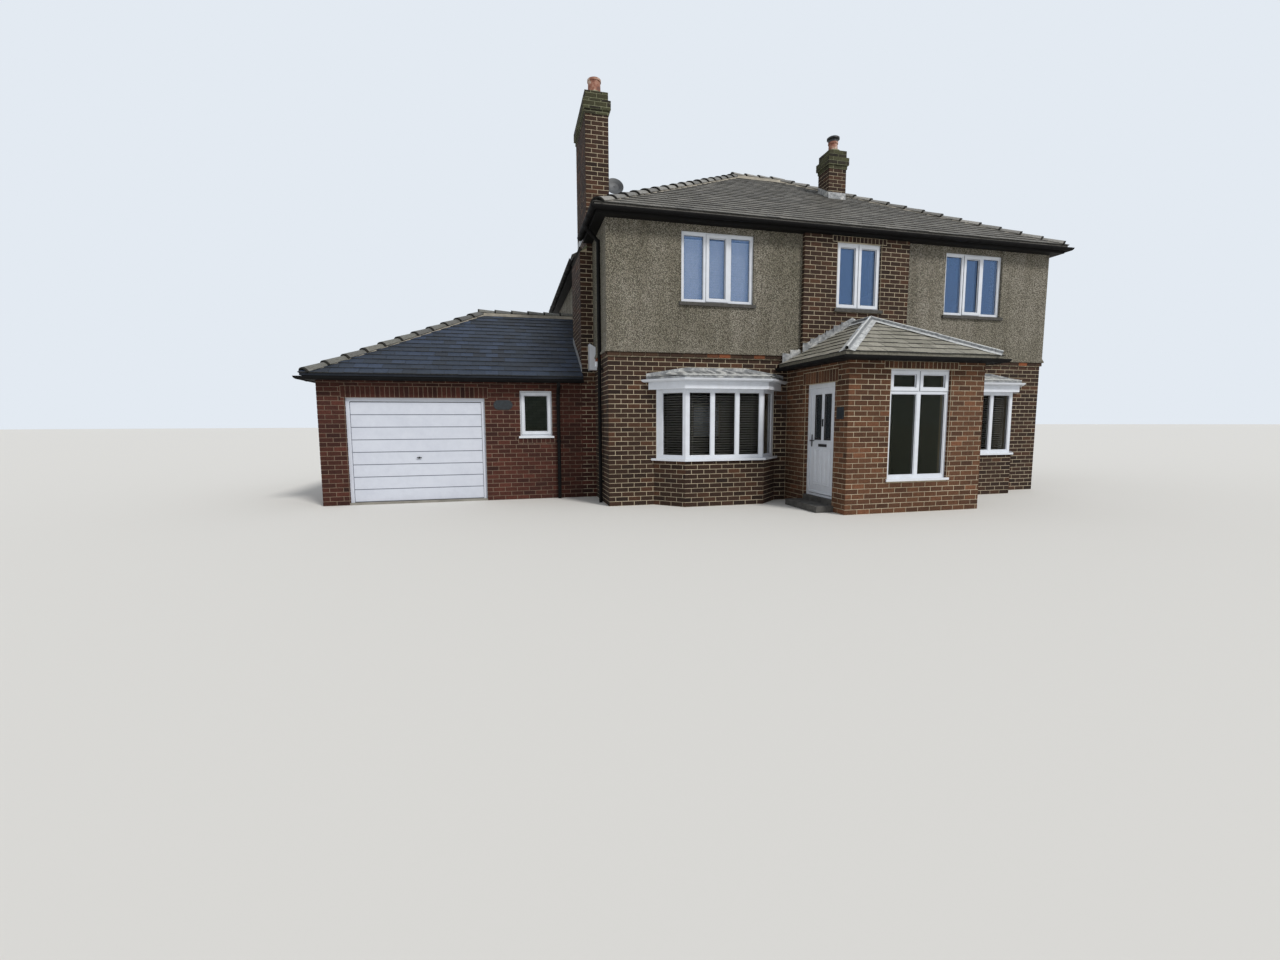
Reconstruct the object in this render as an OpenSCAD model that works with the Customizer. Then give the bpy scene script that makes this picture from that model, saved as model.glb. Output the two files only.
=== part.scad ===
// Detached house with two canted bays, a brick porch and a brick garage.
// Millimetres, Z up. The origin is on the ground at the middle of the main block's plan.

/* [Main block] */
// Width of the main block over the brickwork
house_w = 9770; // [9600:10:10000]
// Depth of the main block over the brickwork
house_d = 8500; // [8300:10:8800]
// Thickness of the cavity walls
wall_t = 275; // [250:1:300]
// Top of the ground floor
floor_z = 200; // [160:1:240]
// Top of the brickwork of the ground storey
brick_top = 2830; // [2800:1:2880]
// Thickness of the upper floor
upper_floor_t = 230; // [200:1:260]
// Pebbledash, proud of the brick face
dash_t = 30; // [20:1:40]
// Bell-cast foot, proud of the pebbledash
bell_out = 25; // [15:1:35]
// Bell-cast foot, height
bell_h = 90; // [60:1:140]
// Projecting brick panel, left edge
panel_x = 3830; // [3800:1:3850]
// Projecting brick panel, width
panel_w = 2340; // [2300:1:2380]
// Projecting brick panel, proud of the brick face
panel_out = 110; // [80:1:130]
// Doorway from the porch into the hall, width
hall_w = 900; // [800:1:1000]
// Doorway from the porch into the hall, top
hall_top = 2250; // [2150:1:2300]

/* [Main roof] */
// Underside of the soffit
soffit_z = 5140; // [5120:1:5180]
// Fascia, height under the slates
fascia_h = 105; // [90:1:130]
// Fascia and soffit boards, thickness
board_t = 20; // [16:1:25]
// Fascia, beyond the brick face
eaves_out = 215; // [190:1:240]
// Slates, past the front and rear fascia
slate_past = 30; // [20:1:34]
// Slates, past the side fascia
slate_side_past = 38; // [36:1:46]
// Slates and battens, measured plumb
roof_t = 60; // [45:1:75]
// Pitch of the main roof in degrees
main_pitch = 31; // [29:0.5:33]
// Ridge and hip tiles, width in plan
tile_w = 230; // [200:1:260]
// Ridge and hip tiles, height above the slates
tile_h = 45; // [35:1:60]

/* [Gutters and pipes] */
// Half round gutter, outer radius
gutter_r = 60; // [50:1:65]
// Gutter wall
gutter_t = 4; // [3:0.5:5]
// Downpipe, diameter
pipe_d = 68; // [60:1:75]
// Downpipe, gap to the wall behind it
pipe_gap = 32; // [25:1:40]
// Downpipe on the side walls, behind the front face
side_pipe_y = 550; // [450:1:650]
// Garage downpipe, left of the main block
garage_pipe_x = -780; // [-820:1:-740]

/* [Windows] */
// Visible width of a window frame
frame_w = 55; // [45:1:65]
// Depth of a window frame
frame_t = 70; // [60:1:80]
// Width of a mullion or transom
mullion_w = 70; // [60:1:90]
// Thickness of the sealed glass units
glass_t = 24; // [20:1:28]
// Frames, back from the wall face
frame_set = 50; // [40:1:70]
// Upper windows, top of the sills
upper_sill_z = 3760; // [3740:1:3800]
// Upper windows, height
upper_win_h = 1270; // [1220:1:1290]
// Three light window, width
wide_win_w = 1440; // [1380:1:1500]
// Left upper window, centre
left_win_x = 2095; // [2050:1:2150]
// Right upper window, centre
right_win_x = 7850; // [7800:1:7900]
// Middle upper window, width
mid_win_w = 988; // [940:1:1040]
// Middle upper window, centre
mid_win_x = 5031; // [5000:1:5060]
// Rear ground windows, top of the sills
rear_sill_z = 1050; // [1000:1:1100]
// Rear ground windows, height
rear_win_h = 1150; // [1100:1:1200]
// Stone sills, height
sill_h = 60; // [50:1:75]
// Stone sills, proud of the wall face
sill_out = 40; // [30:1:60]
// Stone sills, past the opening at each end
sill_ear = 45; // [30:1:60]

/* [Canted bays] */
// Left bay, centre
bay_left_x = 2100; // [2080:1:2140]
// Right bay, centre
bay_right_x = 7850; // [7820:1:7880]
// Half the width of the front of a bay frame
bay_half = 765; // [740:1:790]
// Front of a bay frame, out from the wall
bay_out = 430; // [410:1:450]
// Brick plinth, proud of the frame
plinth_out = 30; // [20:1:40]
// Top of the brick plinth
plinth_z = 840; // [820:1:880]
// White sill, height
white_sill_h = 40; // [30:1:50]
// White sill, proud of the frame
white_sill_out = 75; // [60:1:90]
// Top of the bay windows
bay_head_z = 2150; // [2120:1:2180]
// White fascia board, out from the frame
bay_fascia_out = 110; // [90:1:120]
// White fascia board, height
bay_fascia_h = 190; // [170:1:200]
// Pitch of the bay roofs in degrees
bay_pitch = 13; // [11:0.5:14]
// Bay slates, measured plumb
bay_roof_t = 35; // [30:1:40]
// White bay gutter, outer radius
bay_gutter_r = 50; // [45:1:55]

/* [Porch] */
// Left face of the porch
porch_x = 3585; // [3575:1:3600]
// Width of the porch
porch_w = 2662; // [2640:1:2680]
// Front face of the porch, out from the main wall
porch_out = 2000; // [1960:1:2040]
// Thickness of the porch and garage walls
thin_wall_t = 225; // [215:1:235]
// Underside of the porch soffit
porch_soffit_z = 2540; // [2520:1:2560]
// Porch and garage fascia, height under the slates
low_fascia_h = 60; // [50:1:75]
// Porch fascia, beyond the brick face
porch_eaves = 150; // [130:1:160]
// Pitch of the porch roof in degrees
porch_pitch = 27.5; // [26:0.5:29]
// Porch window, left edge
porch_win_x = 4372; // [4340:1:4400]
// Porch window, width
porch_win_w = 1195; // [1160:1:1220]
// Porch window, bottom of its sill
porch_win_z = 539; // [520:1:560]
// Porch window, top
porch_win_top = 2419; // [2400:1:2440]
// Porch window, underside of the small top lights
transom_z = 2080; // [2040:1:2120]
// Stone step outside the front door, going
step_out = 330; // [280:1:380]
// Stone step outside the front door, top
step_z = 110; // [90:1:150]

/* [Front door] */
// Door frame, front edge, out from the main wall
door_frame_out = 1622; // [1600:1:1640]
// Door frame, width
door_frame_w = 940; // [920:1:950]
// Door frame, top
door_frame_top = 2224; // [2200:1:2240]
// Door frame, back from the brick face
door_set = 70; // [60:1:85]
// Door frame, visible width
door_jamb_w = 62; // [55:1:70]
// Threshold, height
threshold_h = 40; // [30:1:50]
// Gap round the door leaf
door_gap = 5; // [5:0.5:8]
// Thickness of the door leaf
leaf_t = 44; // [40:1:46]
// Stop lip, how far it covers the leaf
lip_w = 12; // [10:1:16]
// Stop lip, thickness
lip_t = 16; // [14:1:18]
// Hinge knuckle radius
knuckle_r = 7; // [6:0.5:8]
// Hinge pin radius
hinge_pin_r = 4; // [3.5:0.5:4.5]
// Clearance between a pin and its bore
pin_clear = 0.5; // [0.4:0.1:0.8]

/* [Garage] */
// Length of the garage along the front
garage_w = 5215; // [5180:1:5250]
// Front face of the garage, behind the main front
garage_y = 1450; // [1430:1:1480]
// Depth of the garage
garage_d = 5830; // [5780:1:5900]
// Underside of the garage soffit
garage_soffit_z = 2360; // [2340:1:2400]
// Garage fascia, beyond the brick face
garage_eaves = 165; // [150:1:180]
// Pitch of the garage roof in degrees
garage_pitch = 29.3; // [28.5:0.1:30]
// Top of the garage floor
garage_floor_z = 40; // [30:1:50]
// Garage door frame, left edge, left of the main block
garage_door_x = -4755; // [-4780:1:-4730]
// Garage door frame, width
garage_door_w = 2533; // [2500:1:2560]
// Garage door frame, top
garage_door_top = 2040; // [2020:1:2060]
// Bearing of the brick lintels at each end
bearing = 110; // [100:1:120]
// Garage window, left edge, left of the main block
garage_win_x = -1544; // [-1560:1:-1530]
// Garage window, width
garage_win_w = 643; // [620:1:660]
// Garage window, bottom of its sill
garage_win_z = 1246; // [1230:1:1260]
// Garage window, top
garage_win_top = 2194; // [2180:1:2210]

/* [Up and over door] */
// Frame, back from the brick face
go_set = 60; // [50:1:70]
// Frame, depth
go_frame_t = 65; // [60:1:70]
// Frame, visible width
go_jamb_w = 70; // [66:1:76]
// Leaf, thickness
go_leaf_t = 35; // [30:1:38]
// Leaf, back from the front of the frame
go_leaf_set = 10; // [6:1:14]
// Leaf, gap at the sides
go_side_gap = 8; // [7:0.5:10]
// Leaf, gap at the head
go_top_gap = 12; // [10:0.5:16]
// Leaf, gap at the floor
go_floor_gap = 10; // [8:0.5:14]
// Pivot line, behind the back of the leaf
pivot_back = 50; // [48:1:54]
// Clearance of the open leaf under the head
open_clear = 15; // [12:1:20]
// Length of a lifting arm between its pins
arm_len = 620; // [600:1:640]
// Width of a lifting arm
arm_w = 30; // [26:1:32]
// Thickness of a lifting arm
arm_t = 8; // [6:1:9]
// Pins of the arms and rollers, radius
arm_pin_r = 6; // [5:0.5:7]
// Roller radius
roller_r = 12; // [11:0.5:13]
// Clearance of a roller in its track
roller_clear = 6; // [5:0.5:7]
// Number of ribs in the leaf
rib_n = 8; // [7:1:9]
// Groove between ribs, width
groove_w = 16; // [12:1:20]
// Groove between ribs, depth
groove_t = 8; // [6:1:10]

/* [Chimneys] */
// Chimney breast, out from the left wall
breast_out = 280; // [270:1:290]
// Chimney breast and stack, depth front to back
breast_d = 1350; // [1300:1:1400]
// Foot of the weathered shoulder
shoulder_z = 4970; // [4950:1:4980]
// Height of the weathered shoulder
shoulder_h = 150; // [140:1:155]
// Left face of the stack, out from the left wall
stack_out = 140; // [130:1:150]
// Width of the stack
stack_w = 460; // [440:1:480]
// Top of the stack
stack_top = 8040; // [8000:1:8100]
// Corbel, proud of the stack
corbel_out = 45; // [35:1:55]
// First corbel course, proud of the stack
corbel_step = 15; // [10:1:20]
// Brick course
course = 86; // [82:1:90]
// Flue, width of its square hole
flue_w = 190; // [170:1:200]
// Right-hand stack, left face
small_stack_x = 5940; // [5900:1:5980]
// Right-hand stack, front face
small_stack_y = 2500; // [2460:1:2540]
// Right-hand stack, top
small_stack_top = 8080; // [8040:1:8120]
// Left pot, diameter
big_pot_d = 275; // [260:1:290]
// Left pot, height
big_pot_h = 330; // [300:1:360]
// Right pot, diameter
small_pot_d = 235; // [220:1:250]
// Right pot, height
small_pot_h = 270; // [250:1:300]
// Pot wall
pot_t = 20; // [16:1:24]
// Cowl, diameter
cowl_d = 300; // [280:1:320]
// Lead sheet, thickness
lead_t = 6; // [5:0.5:8]
// Lead upstand above the slates
lead_h = 150; // [130:1:170]

/* [Small pieces] */
// Satellite dish, radius
dish_r = 196; // [180:1:210]
// Satellite dish, height of its centre
dish_z = 6500; // [6450:1:6600]
// Wall plaque, thickness
plaque_t = 12; // [8:1:16]
// Meter box, height
box_h = 520; // [480:1:560]
// Outside lamp, radius
lamp_r = 45; // [40:1:50]

/* [Hidden] */
$fn = 32;
pipe_fn = 20;
round_fn = 24;
socket = 5;
root2 = sqrt(2);
far = 9000;
big = 40000;
head_z = upper_sill_z + upper_win_h;
slate_z = soffit_z + fascia_h + roof_t;
main_out = eaves_out + slate_past;
main_side = eaves_out + slate_side_past;
main_roof_at = [-main_side, house_w + main_side, -main_out, house_d + main_out, slate_z, main_pitch,
    1, 1, 1, 1];
garage_out = garage_eaves + slate_past;
garage_z = garage_soffit_z + low_fascia_h + roof_t;
garage_back = garage_y + garage_d;
garage_side = garage_eaves + slate_side_past;
garage_roof_at = [-garage_w - garage_side, 0, garage_y - garage_out, garage_back + garage_out, garage_z,
    garage_pitch, 1, 0, 1, 1];
porch_slate_out = porch_eaves + slate_past;
porch_z = porch_soffit_z + low_fascia_h + roof_t;
porch_right = porch_x + porch_w;
porch_side = porch_eaves + slate_side_past;
porch_roof_at = [porch_x - porch_side, porch_right + porch_side, -porch_out - porch_slate_out, 0, porch_z,
    porch_pitch, 1, 1, 1, 0];
bay_wall_half = bay_half + bay_out;
bay_open_half = bay_wall_half - frame_t * root2;
bay_slate_out = bay_fascia_out + slate_past;
bay_slate_z = bay_head_z + bay_fascia_h + bay_roof_t;
bay_frame_z = plinth_z + white_sill_h;
hall_x = panel_x + panel_w / 2 - hall_w / 2;
breast_back = garage_y + breast_d;
stack_right = stack_w - stack_out;
shoulder_top = shoulder_z + shoulder_h;
small_stack_base = 6300;
slate_lip = 5;
seat_gap = 0.05;
hip_start = 40;
dish_off = dish_r + 20;
sign_x = -1870;
sign_z = 1910;
sign_h = 190;
sign_straight = 180;
door_sign_w = 200;
door_sign_z = 1590;
box_out = 150;
box_y = garage_y - 250;
box_w = 220;
box_z = 2610;
lamp_y = 900;
lamp_z = 2640;
small_pot_top = small_stack_top + small_pot_h;
leaf_w = door_frame_w - 2 * door_jamb_w - 2 * door_gap;
leaf_h = door_frame_top - floor_z - threshold_h - door_jamb_w - 2 * door_gap;
leaf_z = floor_z + threshold_h + door_gap;
leaf_v = lip_t + door_gap;
hinge_u = door_jamb_w + door_gap / 2;
hinge_v = frame_t + 10;
head_go_z = garage_door_top - go_jamb_w;
go_leaf_w = garage_door_w - 2 * go_jamb_w - 2 * go_side_gap;
go_leaf_bottom = garage_floor_z + go_floor_gap;
go_leaf_top = head_go_z - go_top_gap;
go_leaf_v = go_set + go_leaf_set;
go_back_v = go_set + go_frame_t;
pivot_v = go_leaf_v + go_leaf_t + pivot_back;
pivot_z = head_go_z - pivot_back - go_leaf_t - open_clear;
roller_z = pivot_z - 2 * arm_len;
track_top = pivot_z - 100;
arm_u = 52;
track_u = 10;
track_w = 32;
track_t = 3;
skin_t = 3;
edge_fold = 14;
stiffener_w = 30;
slot_half = roller_r + roller_clear;
UPPER_FRONT = [[left_win_x, wide_win_w, 3, dash_t], [mid_win_x, mid_win_w, 2, panel_out],
    [right_win_x, wide_win_w, 3, dash_t]];
UPPER_REAR = [[left_win_x, wide_win_w, 3, dash_t], [mid_win_x, mid_win_w, 2, dash_t],
    [right_win_x, wide_win_w, 3, dash_t]];
GROUND_REAR = [[left_win_x, wide_win_w, 3, 0], [mid_win_x, mid_win_w, 2, 0],
    [right_win_x, wide_win_w, 3, 0]];

// Box from one corner to the opposite one
module box(a, b)
    translate(a) cube(b - a);

// Profile of a roof between two eaves, in plan direction and height
function roof_profile(a, b, low, z, t, lo, hi) =
    (lo && hi) ? [[a, low], [a, z], [(a + b) / 2, z + (b - a) / 2 * t], [b, z], [b, low]] :
    lo ? [[a, low], [a, z], [b, z + (b - a) * t], [b, low]] :
    [[a, low], [a, z + (b - a) * t], [b, z], [b, low]];

// Solid under a hipped roof, its planes raised by dz and carried past the eaves by g
module roof_mass(r, dz, g, low) {
    t = tan(r[5]);
    z = r[4] + dz - g * t;
    intersection() {
        translate([0, r[3] + g, 0])
            rotate([90, 0, 0])
                linear_extrude(r[3] - r[2] + 2 * g)
                    polygon(roof_profile(r[0] - g, r[1] + g, low, z, t, r[6], r[7]));
        translate([r[0] - g, 0, 0])
            rotate([90, 0, 90])
                linear_extrude(r[1] - r[0] + 2 * g)
                    polygon(roof_profile(r[2] - g, r[3] + g, low, z, t, r[8], r[9]));
    }
}

// Slated shell of a hipped roof, open below
module roof_shell(r) {
    difference() {
        roof_mass(r, 0, 0, r[4] - roof_t + slate_lip);
        roof_mass(r, -roof_t, 10, r[4] - roof_t - 50);
    }
}

// Everything under the battens of a roof, for trimming wall tops to the rafters
module under_roof(r)
    roof_mass(r, -roof_t, 10, -100);

// How far a hip runs in plan before it meets the ridge
function hip_run(r) =
    (r[8] && r[9]) ? (r[3] - r[2]) / 2 : (r[1] - r[0]) / 2;

// Strip in plan from a corner of the eaves up its hip and a little past the ridge
module hip_strip(x, y, angle, run)
    translate([x, y])
        rotate(angle)
            translate([hip_start, -tile_w / 2])
                square([run * root2 + 50 - hip_start, tile_w]);

// Plan of the tiles that straddle the hips and the ridge of a roof
module capping_plan(r) {
    run = hip_run(r);
    if (r[6] && r[8]) hip_strip(r[0], r[2], 45, run);
    if (r[6] && r[9]) hip_strip(r[0], r[3], -45, run);
    if (r[7] && r[8]) hip_strip(r[1], r[2], 135, run);
    if (r[7] && r[9]) hip_strip(r[1], r[3], 225, run);
    if (r[8] && r[9])
        translate([r[0] + run - 30, (r[2] + r[3] - tile_w) / 2])
            square([r[1] - r[0] - run + 30 - r[7] * (run - 30), tile_w]);
    else
        translate([(r[0] + r[1] - tile_w) / 2, r[2] + run - 30])
            square([tile_w, r[3] - r[2] - run + 30]);
}

// Tiles that straddle the hips and the ridge, bedded on the slates
module capping(r) {
    intersection() {
        difference() {
            roof_mass(r, tile_h, 0, r[4] - 10);
            roof_mass(r, seat_gap, 20, r[4] - 100);
        }
        linear_extrude(far)
            capping_plan(r);
    }
}

// Fascia and soffit round a rectangle of wall, tops cut to the rafters
module eaves_ring(x0, x1, y0, y1, out, wall, z, r) {
    intersection() {
        difference() {
            box([x0 - out, y0 - out, z], [x1 + out, y1 + out, z + 400]);
            box([x0 - out + board_t, y0 - out + board_t, z + board_t],
                [x1 + out - board_t, y1 + out - board_t, z + 500]);
            box([x0 - wall, y0 - wall, z - 10], [x1 + wall, y1 + wall, z + 500]);
        }
        under_roof(r);
    }
}

// Section of a half round gutter with a flat back
module gutter_section(r) {
    difference() {
        circle(r);
        circle(r - gutter_t);
        translate([-r, 0])
            square([2 * r, r]);
    }
    translate([r - gutter_t, -20])
        square([gutter_t, 20]);
}

// Gutter along X with its back on y = 0, carried past its ends by a mitre where there is one
module gutter_run(len, r, left, right) {
    intersection() {
        translate([-2 * r, -r, 0])
            rotate([90, 0, 90])
                linear_extrude(len + 4 * r)
                    gutter_section(r);
        translate([0, 0, -2 * r])
            linear_extrude(3 * r)
                polygon([[0, 0], [len, 0], [len + right * 2 * r, -2 * r], [-left * 2 * r, -2 * r]]);
    }
}

// Gutter round the four sides of a rectangle
module gutter_ring(x0, x1, y0, y1, r) {
    translate([x0, y0, 0])
        gutter_run(x1 - x0, r, 1, 1);
    translate([x1, y0, 0])
        rotate([0, 0, 90])
            gutter_run(y1 - y0, r, 1, 1);
    translate([x1, y1, 0])
        rotate([0, 0, 180])
            gutter_run(x1 - x0, r, 1, 1);
    translate([x0, y1, 0])
        rotate([0, 0, 270])
            gutter_run(y1 - y0, r, 1, 1);
}

// Equal lights in a frame, each as left, bottom, right and top
function lights(n, w, h) =
    [for (i = [0 : n - 1])
        let (lw = (w - 2 * frame_w - (n - 1) * mullion_w) / n, x = frame_w + i * (lw + mullion_w))
        [x, frame_w, x + lw, h - frame_w]];

// Window frame with its lights cut through
module framed(w, h, holes) {
    difference() {
        cube([w, frame_t, h]);
        for (q = holes)
            box([q[0], -1, q[1]], [q[2], frame_t + 1, q[3]]);
    }
}

// Sealed units that fill the lights of a frame
module panes(holes)
    for (q = holes)
        box([q[0], (frame_t - glass_t) / 2, q[1]], [q[2], (frame_t + glass_t) / 2, q[3]]);

// Turns front features onto the rear face
module at_rear()
    translate([0, house_d, 0])
        mirror([0, 1, 0])
            children();

// Openings for a row of windows
module window_cuts(row, z, h)
    for (q = row)
        translate([q[0] - q[1] / 2, frame_set - q[3], z])
            box([0, -400, -sill_h], [q[1], 600, h]);

// Stone sills for a row of windows
module row_sills(row, z)
    for (q = row)
        translate([q[0] - q[1] / 2, frame_set - q[3], z]) {
            box([0, -frame_set, -sill_h], [q[1], frame_t, 0]);
            box([-sill_ear, -frame_set - sill_out, -sill_h], [q[1] + sill_ear, -frame_set, 0]);
        }

// Frames for a row of windows
module row_frames(row, z, h)
    for (q = row)
        translate([q[0] - q[1] / 2, frame_set - q[3], z])
            framed(q[1], h, lights(q[2], q[1], h));

// Glass for a row of windows
module row_panes(row, z, h)
    for (q = row)
        translate([q[0] - q[1] / 2, frame_set - q[3], z])
            panes(lights(q[2], q[1], h));

// Outline of a canted bay grown by g, its cants carried back to y = back
function bay_points(g, back) = [[-(bay_wall_half + g * root2 + back), back],
    [-(bay_half + g * (root2 - 1)), -(bay_out + g)], [bay_half + g * (root2 - 1), -(bay_out + g)],
    [bay_wall_half + g * root2 + back, back]];

// Puts a piece on both bays
module both_bays()
    for (x = [bay_left_x, bay_right_x])
        translate([x, 0, 0])
            children();

// Slope that rises along +Y from y = 0
module wedge(low, z, t)
    translate([-3000, 0, 0])
        rotate([90, 0, 90])
            linear_extrude(6000)
                polygon([[0, low], [0, z], [3000, z + 3000 * t], [3000, low]]);

// The slope over the left cant of a bay
module bay_cant_slope(out, low, z, t)
    translate([-(bay_wall_half + out * root2), 0, 0])
        rotate([0, 0, -45])
            wedge(low, z, t);

// Solid under the three slopes of a bay roof
module bay_mass(dz, g, low) {
    t = tan(bay_pitch);
    out = bay_slate_out + g;
    z = bay_slate_z + dz - g * t;
    intersection() {
        translate([0, -(bay_out + out), 0])
            wedge(low, z, t);
        bay_cant_slope(out, low, z, t);
        mirror([1, 0, 0])
            bay_cant_slope(out, low, z, t);
        box([-3000, -3000, low - 1], [3000, 0, far]);
    }
}

// The three cuts through a cant and front of a bay frame, as deep as asked
module bay_lights(v0, v1) {
    n = 3;
    w = 2 * (bay_half - frame_t);
    lw = (w - (n - 1) * mullion_w) / n;
    z0 = bay_frame_z + frame_w;
    z1 = bay_head_z - frame_w;
    for (i = [0 : n - 1])
        translate([-w / 2 + i * (lw + mullion_w), -bay_out, 0])
            box([0, v0, z0], [lw, v1, z1]);
    for (m = [0, 1])
        mirror([m, 0, 0])
            translate([-bay_half, -bay_out, 0])
                rotate([0, 0, 135])
                    box([frame_w, -v1, z0], [bay_out * root2 - frame_w - frame_t, -v0, z1]);
}

// Width and height outline of the render, flared at its foot
function bell_profile(w) =
    let (a = dash_t + bell_out, z = brick_top)
    [[-a, z], [-a, z + 20], [-dash_t, z + bell_h], [-dash_t, far],
        [w + dash_t, far], [w + dash_t, z + bell_h], [w + a, z + 20], [w + a, z]];

// Outside of the upper storey with its bell-cast foot, before the inside is taken out
module upper_envelope() {
    a = dash_t + bell_out;
    intersection() {
        translate([0, house_d + a, 0])
            rotate([90, 0, 0])
                linear_extrude(house_d + 2 * a)
                    polygon(bell_profile(house_w));
        translate([-a, 0, 0])
            rotate([90, 0, 90])
                linear_extrude(house_w + 2 * a)
                    polygon(bell_profile(house_d));
    }
}

// Space taken by the left breast and stack
module left_chimney_space() {
    box([-breast_out, garage_y, -10], [0, breast_back, shoulder_top]);
    box([-stack_out, garage_y, shoulder_top], [stack_right, breast_back, far]);
}

// Gap in the left eaves where the chimney stands outside the wall
module chimney_gap()
    box([-far, garage_y, 0], [0, breast_back, far]);

// Space taken by the right-hand stack
module small_stack_space()
    box([small_stack_x, small_stack_y, small_stack_base],
        [small_stack_x + stack_w, small_stack_y + stack_w, far]);

// Upper walls as one ring, trimmed to the rafters
module upper_ring() {
    difference() {
        intersection() {
            upper_envelope();
            under_roof(main_roof_at);
        }
        box([wall_t, wall_t, 0], [house_w - wall_t, house_d - wall_t, far]);
        box([panel_x, -panel_out, 0], [panel_x + panel_w, 0, soffit_z]);
        left_chimney_space();
    }
}

module main_floor()
    color("gray") {
        box([wall_t, wall_t, 0], [house_w - wall_t, house_d - wall_t, floor_z]);
        box([hall_x, 0, 0], [hall_x + hall_w, wall_t, floor_z]);
        both_bays() {
            box([-bay_open_half, 0, 0], [bay_open_half, wall_t, floor_z]);
            linear_extrude(floor_z)
                polygon(bay_points(plinth_out - thin_wall_t, 0));
        }
    }

module front_wall_ground()
    color("saddlebrown")
        difference() {
            box([0, 0, 0], [house_w, wall_t, brick_top]);
            both_bays()
                box([-bay_open_half, -1, -1], [bay_open_half, wall_t + 1, bay_head_z]);
            box([hall_x, -1, -1], [hall_x + hall_w, wall_t + 1, hall_top]);
        }

module side_walls_ground()
    color("saddlebrown")
        for (x = [0, house_w - wall_t])
            box([x, wall_t, 0], [x + wall_t, house_d - wall_t, brick_top]);

module rear_wall_ground()
    color("saddlebrown")
        difference() {
            box([0, house_d - wall_t, 0], [house_w, house_d, brick_top]);
            at_rear()
                window_cuts(GROUND_REAR, rear_sill_z, rear_win_h);
        }

module upper_floor()
    color("burlywood")
        box([wall_t, wall_t, brick_top - upper_floor_t], [house_w - wall_t, house_d - wall_t, brick_top]);

module front_wall_upper()
    color("darkkhaki")
        difference() {
            upper_ring();
            box([-far, wall_t, 0], [big, big, far]);
            window_cuts(UPPER_FRONT, upper_sill_z, upper_win_h);
        }

module side_walls_upper()
    color("darkkhaki")
        intersection() {
            upper_ring();
            box([-far, wall_t, 0], [big, house_d - wall_t, far]);
        }

module rear_wall_upper()
    color("darkkhaki")
        difference() {
            upper_ring();
            box([-far, -far, 0], [big, house_d - wall_t, far]);
            at_rear()
                window_cuts(UPPER_REAR, upper_sill_z, upper_win_h);
        }

// The panel stands on the porch slates
module brick_panel()
    color("saddlebrown")
        difference() {
            box([panel_x, -panel_out, brick_top - 60], [panel_x + panel_w, 0, soffit_z]);
            box([panel_x - 1, -1, 0], [panel_x + panel_w + 1, 1, brick_top]);
            roof_mass(porch_roof_at, 0, 20, 0);
            window_cuts(UPPER_FRONT, upper_sill_z, upper_win_h);
        }

module main_roof()
    color("dimgray")
        difference() {
            roof_shell(main_roof_at);
            chimney_gap();
            left_chimney_space();
            small_stack_space();
        }

module ridge_tiles()
    color("gray") {
        capping(main_roof_at);
        difference() {
            capping(garage_roof_at);
            upper_envelope();
            box([-dash_t - lead_t, 0, 0], [1, big, far]);
        }
        difference() {
            capping(porch_roof_at);
            box([0, -panel_out - lead_t, 0], [big, 1, far]);
        }
    }

// Black boards under every slated edge
module eaves()
    color("black") {
        difference() {
            eaves_ring(0, house_w, 0, house_d, eaves_out, dash_t, soffit_z, main_roof_at);
            chimney_gap();
        }
        difference() {
            eaves_ring(-garage_w, big, garage_y, garage_back, garage_eaves, 0, garage_soffit_z,
                garage_roof_at);
            box([-breast_out, 0, 0], [big, garage_y + 10, far]);
            box([0, 0, 0], [big, big, far]);
        }
        difference() {
            eaves_ring(porch_x, porch_right, -porch_out, big, porch_eaves, 0, porch_soffit_z, porch_roof_at);
            box([0, 0, 0], [big, big, far]);
        }
    }

module gutters()
    color("black") {
        difference() {
            translate([0, 0, slate_z - roof_t - 12])
                gutter_ring(-eaves_out, house_w + eaves_out, -eaves_out, house_d + eaves_out, gutter_r);
            chimney_gap();
        }
        difference() {
            translate([0, 0, garage_z - roof_t - 12])
                gutter_ring(-garage_w - garage_eaves, 2000, garage_y - garage_eaves,
                    garage_back + garage_eaves, gutter_r);
            box([-breast_out, -far, 0], [big, garage_y, far]);
            box([0, -far, 0], [big, big, far]);
        }
        difference() {
            translate([0, 0, porch_z - roof_t - 12])
                gutter_ring(porch_x - porch_eaves, porch_right + porch_eaves, -porch_out - porch_eaves, 3000,
                    gutter_r);
            box([0, 0, 0], [big, big, far]);
        }
    }

// Straight pipe from the ground with a swan neck up to a gutter, falling back to the wall along +Y
module downpipe(z_gutter, out) {
    r = pipe_d / 2;
    y = -(pipe_gap + r);
    drop = out + y;
    z_bend = z_gutter - gutter_r - 60;
    translate([0, y, 0])
        cylinder(h = z_bend - drop, r = r, $fn = pipe_fn);
    translate([0, y, z_bend - drop]) {
        sphere(r + socket, $fn = pipe_fn);
        rotate([45, 0, 0])
            cylinder(h = drop * root2, r = r, $fn = pipe_fn);
    }
    translate([0, -out, z_bend]) {
        sphere(r + socket, $fn = pipe_fn);
        cylinder(h = 60 + gutter_r, r = r, $fn = pipe_fn);
    }
    for (z = [400 : (z_bend - drop - 600) / 2 : z_bend - drop])
        box([-r - 8, -pipe_gap - r, z], [r + 8, 0, z + 30]);
}

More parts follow.
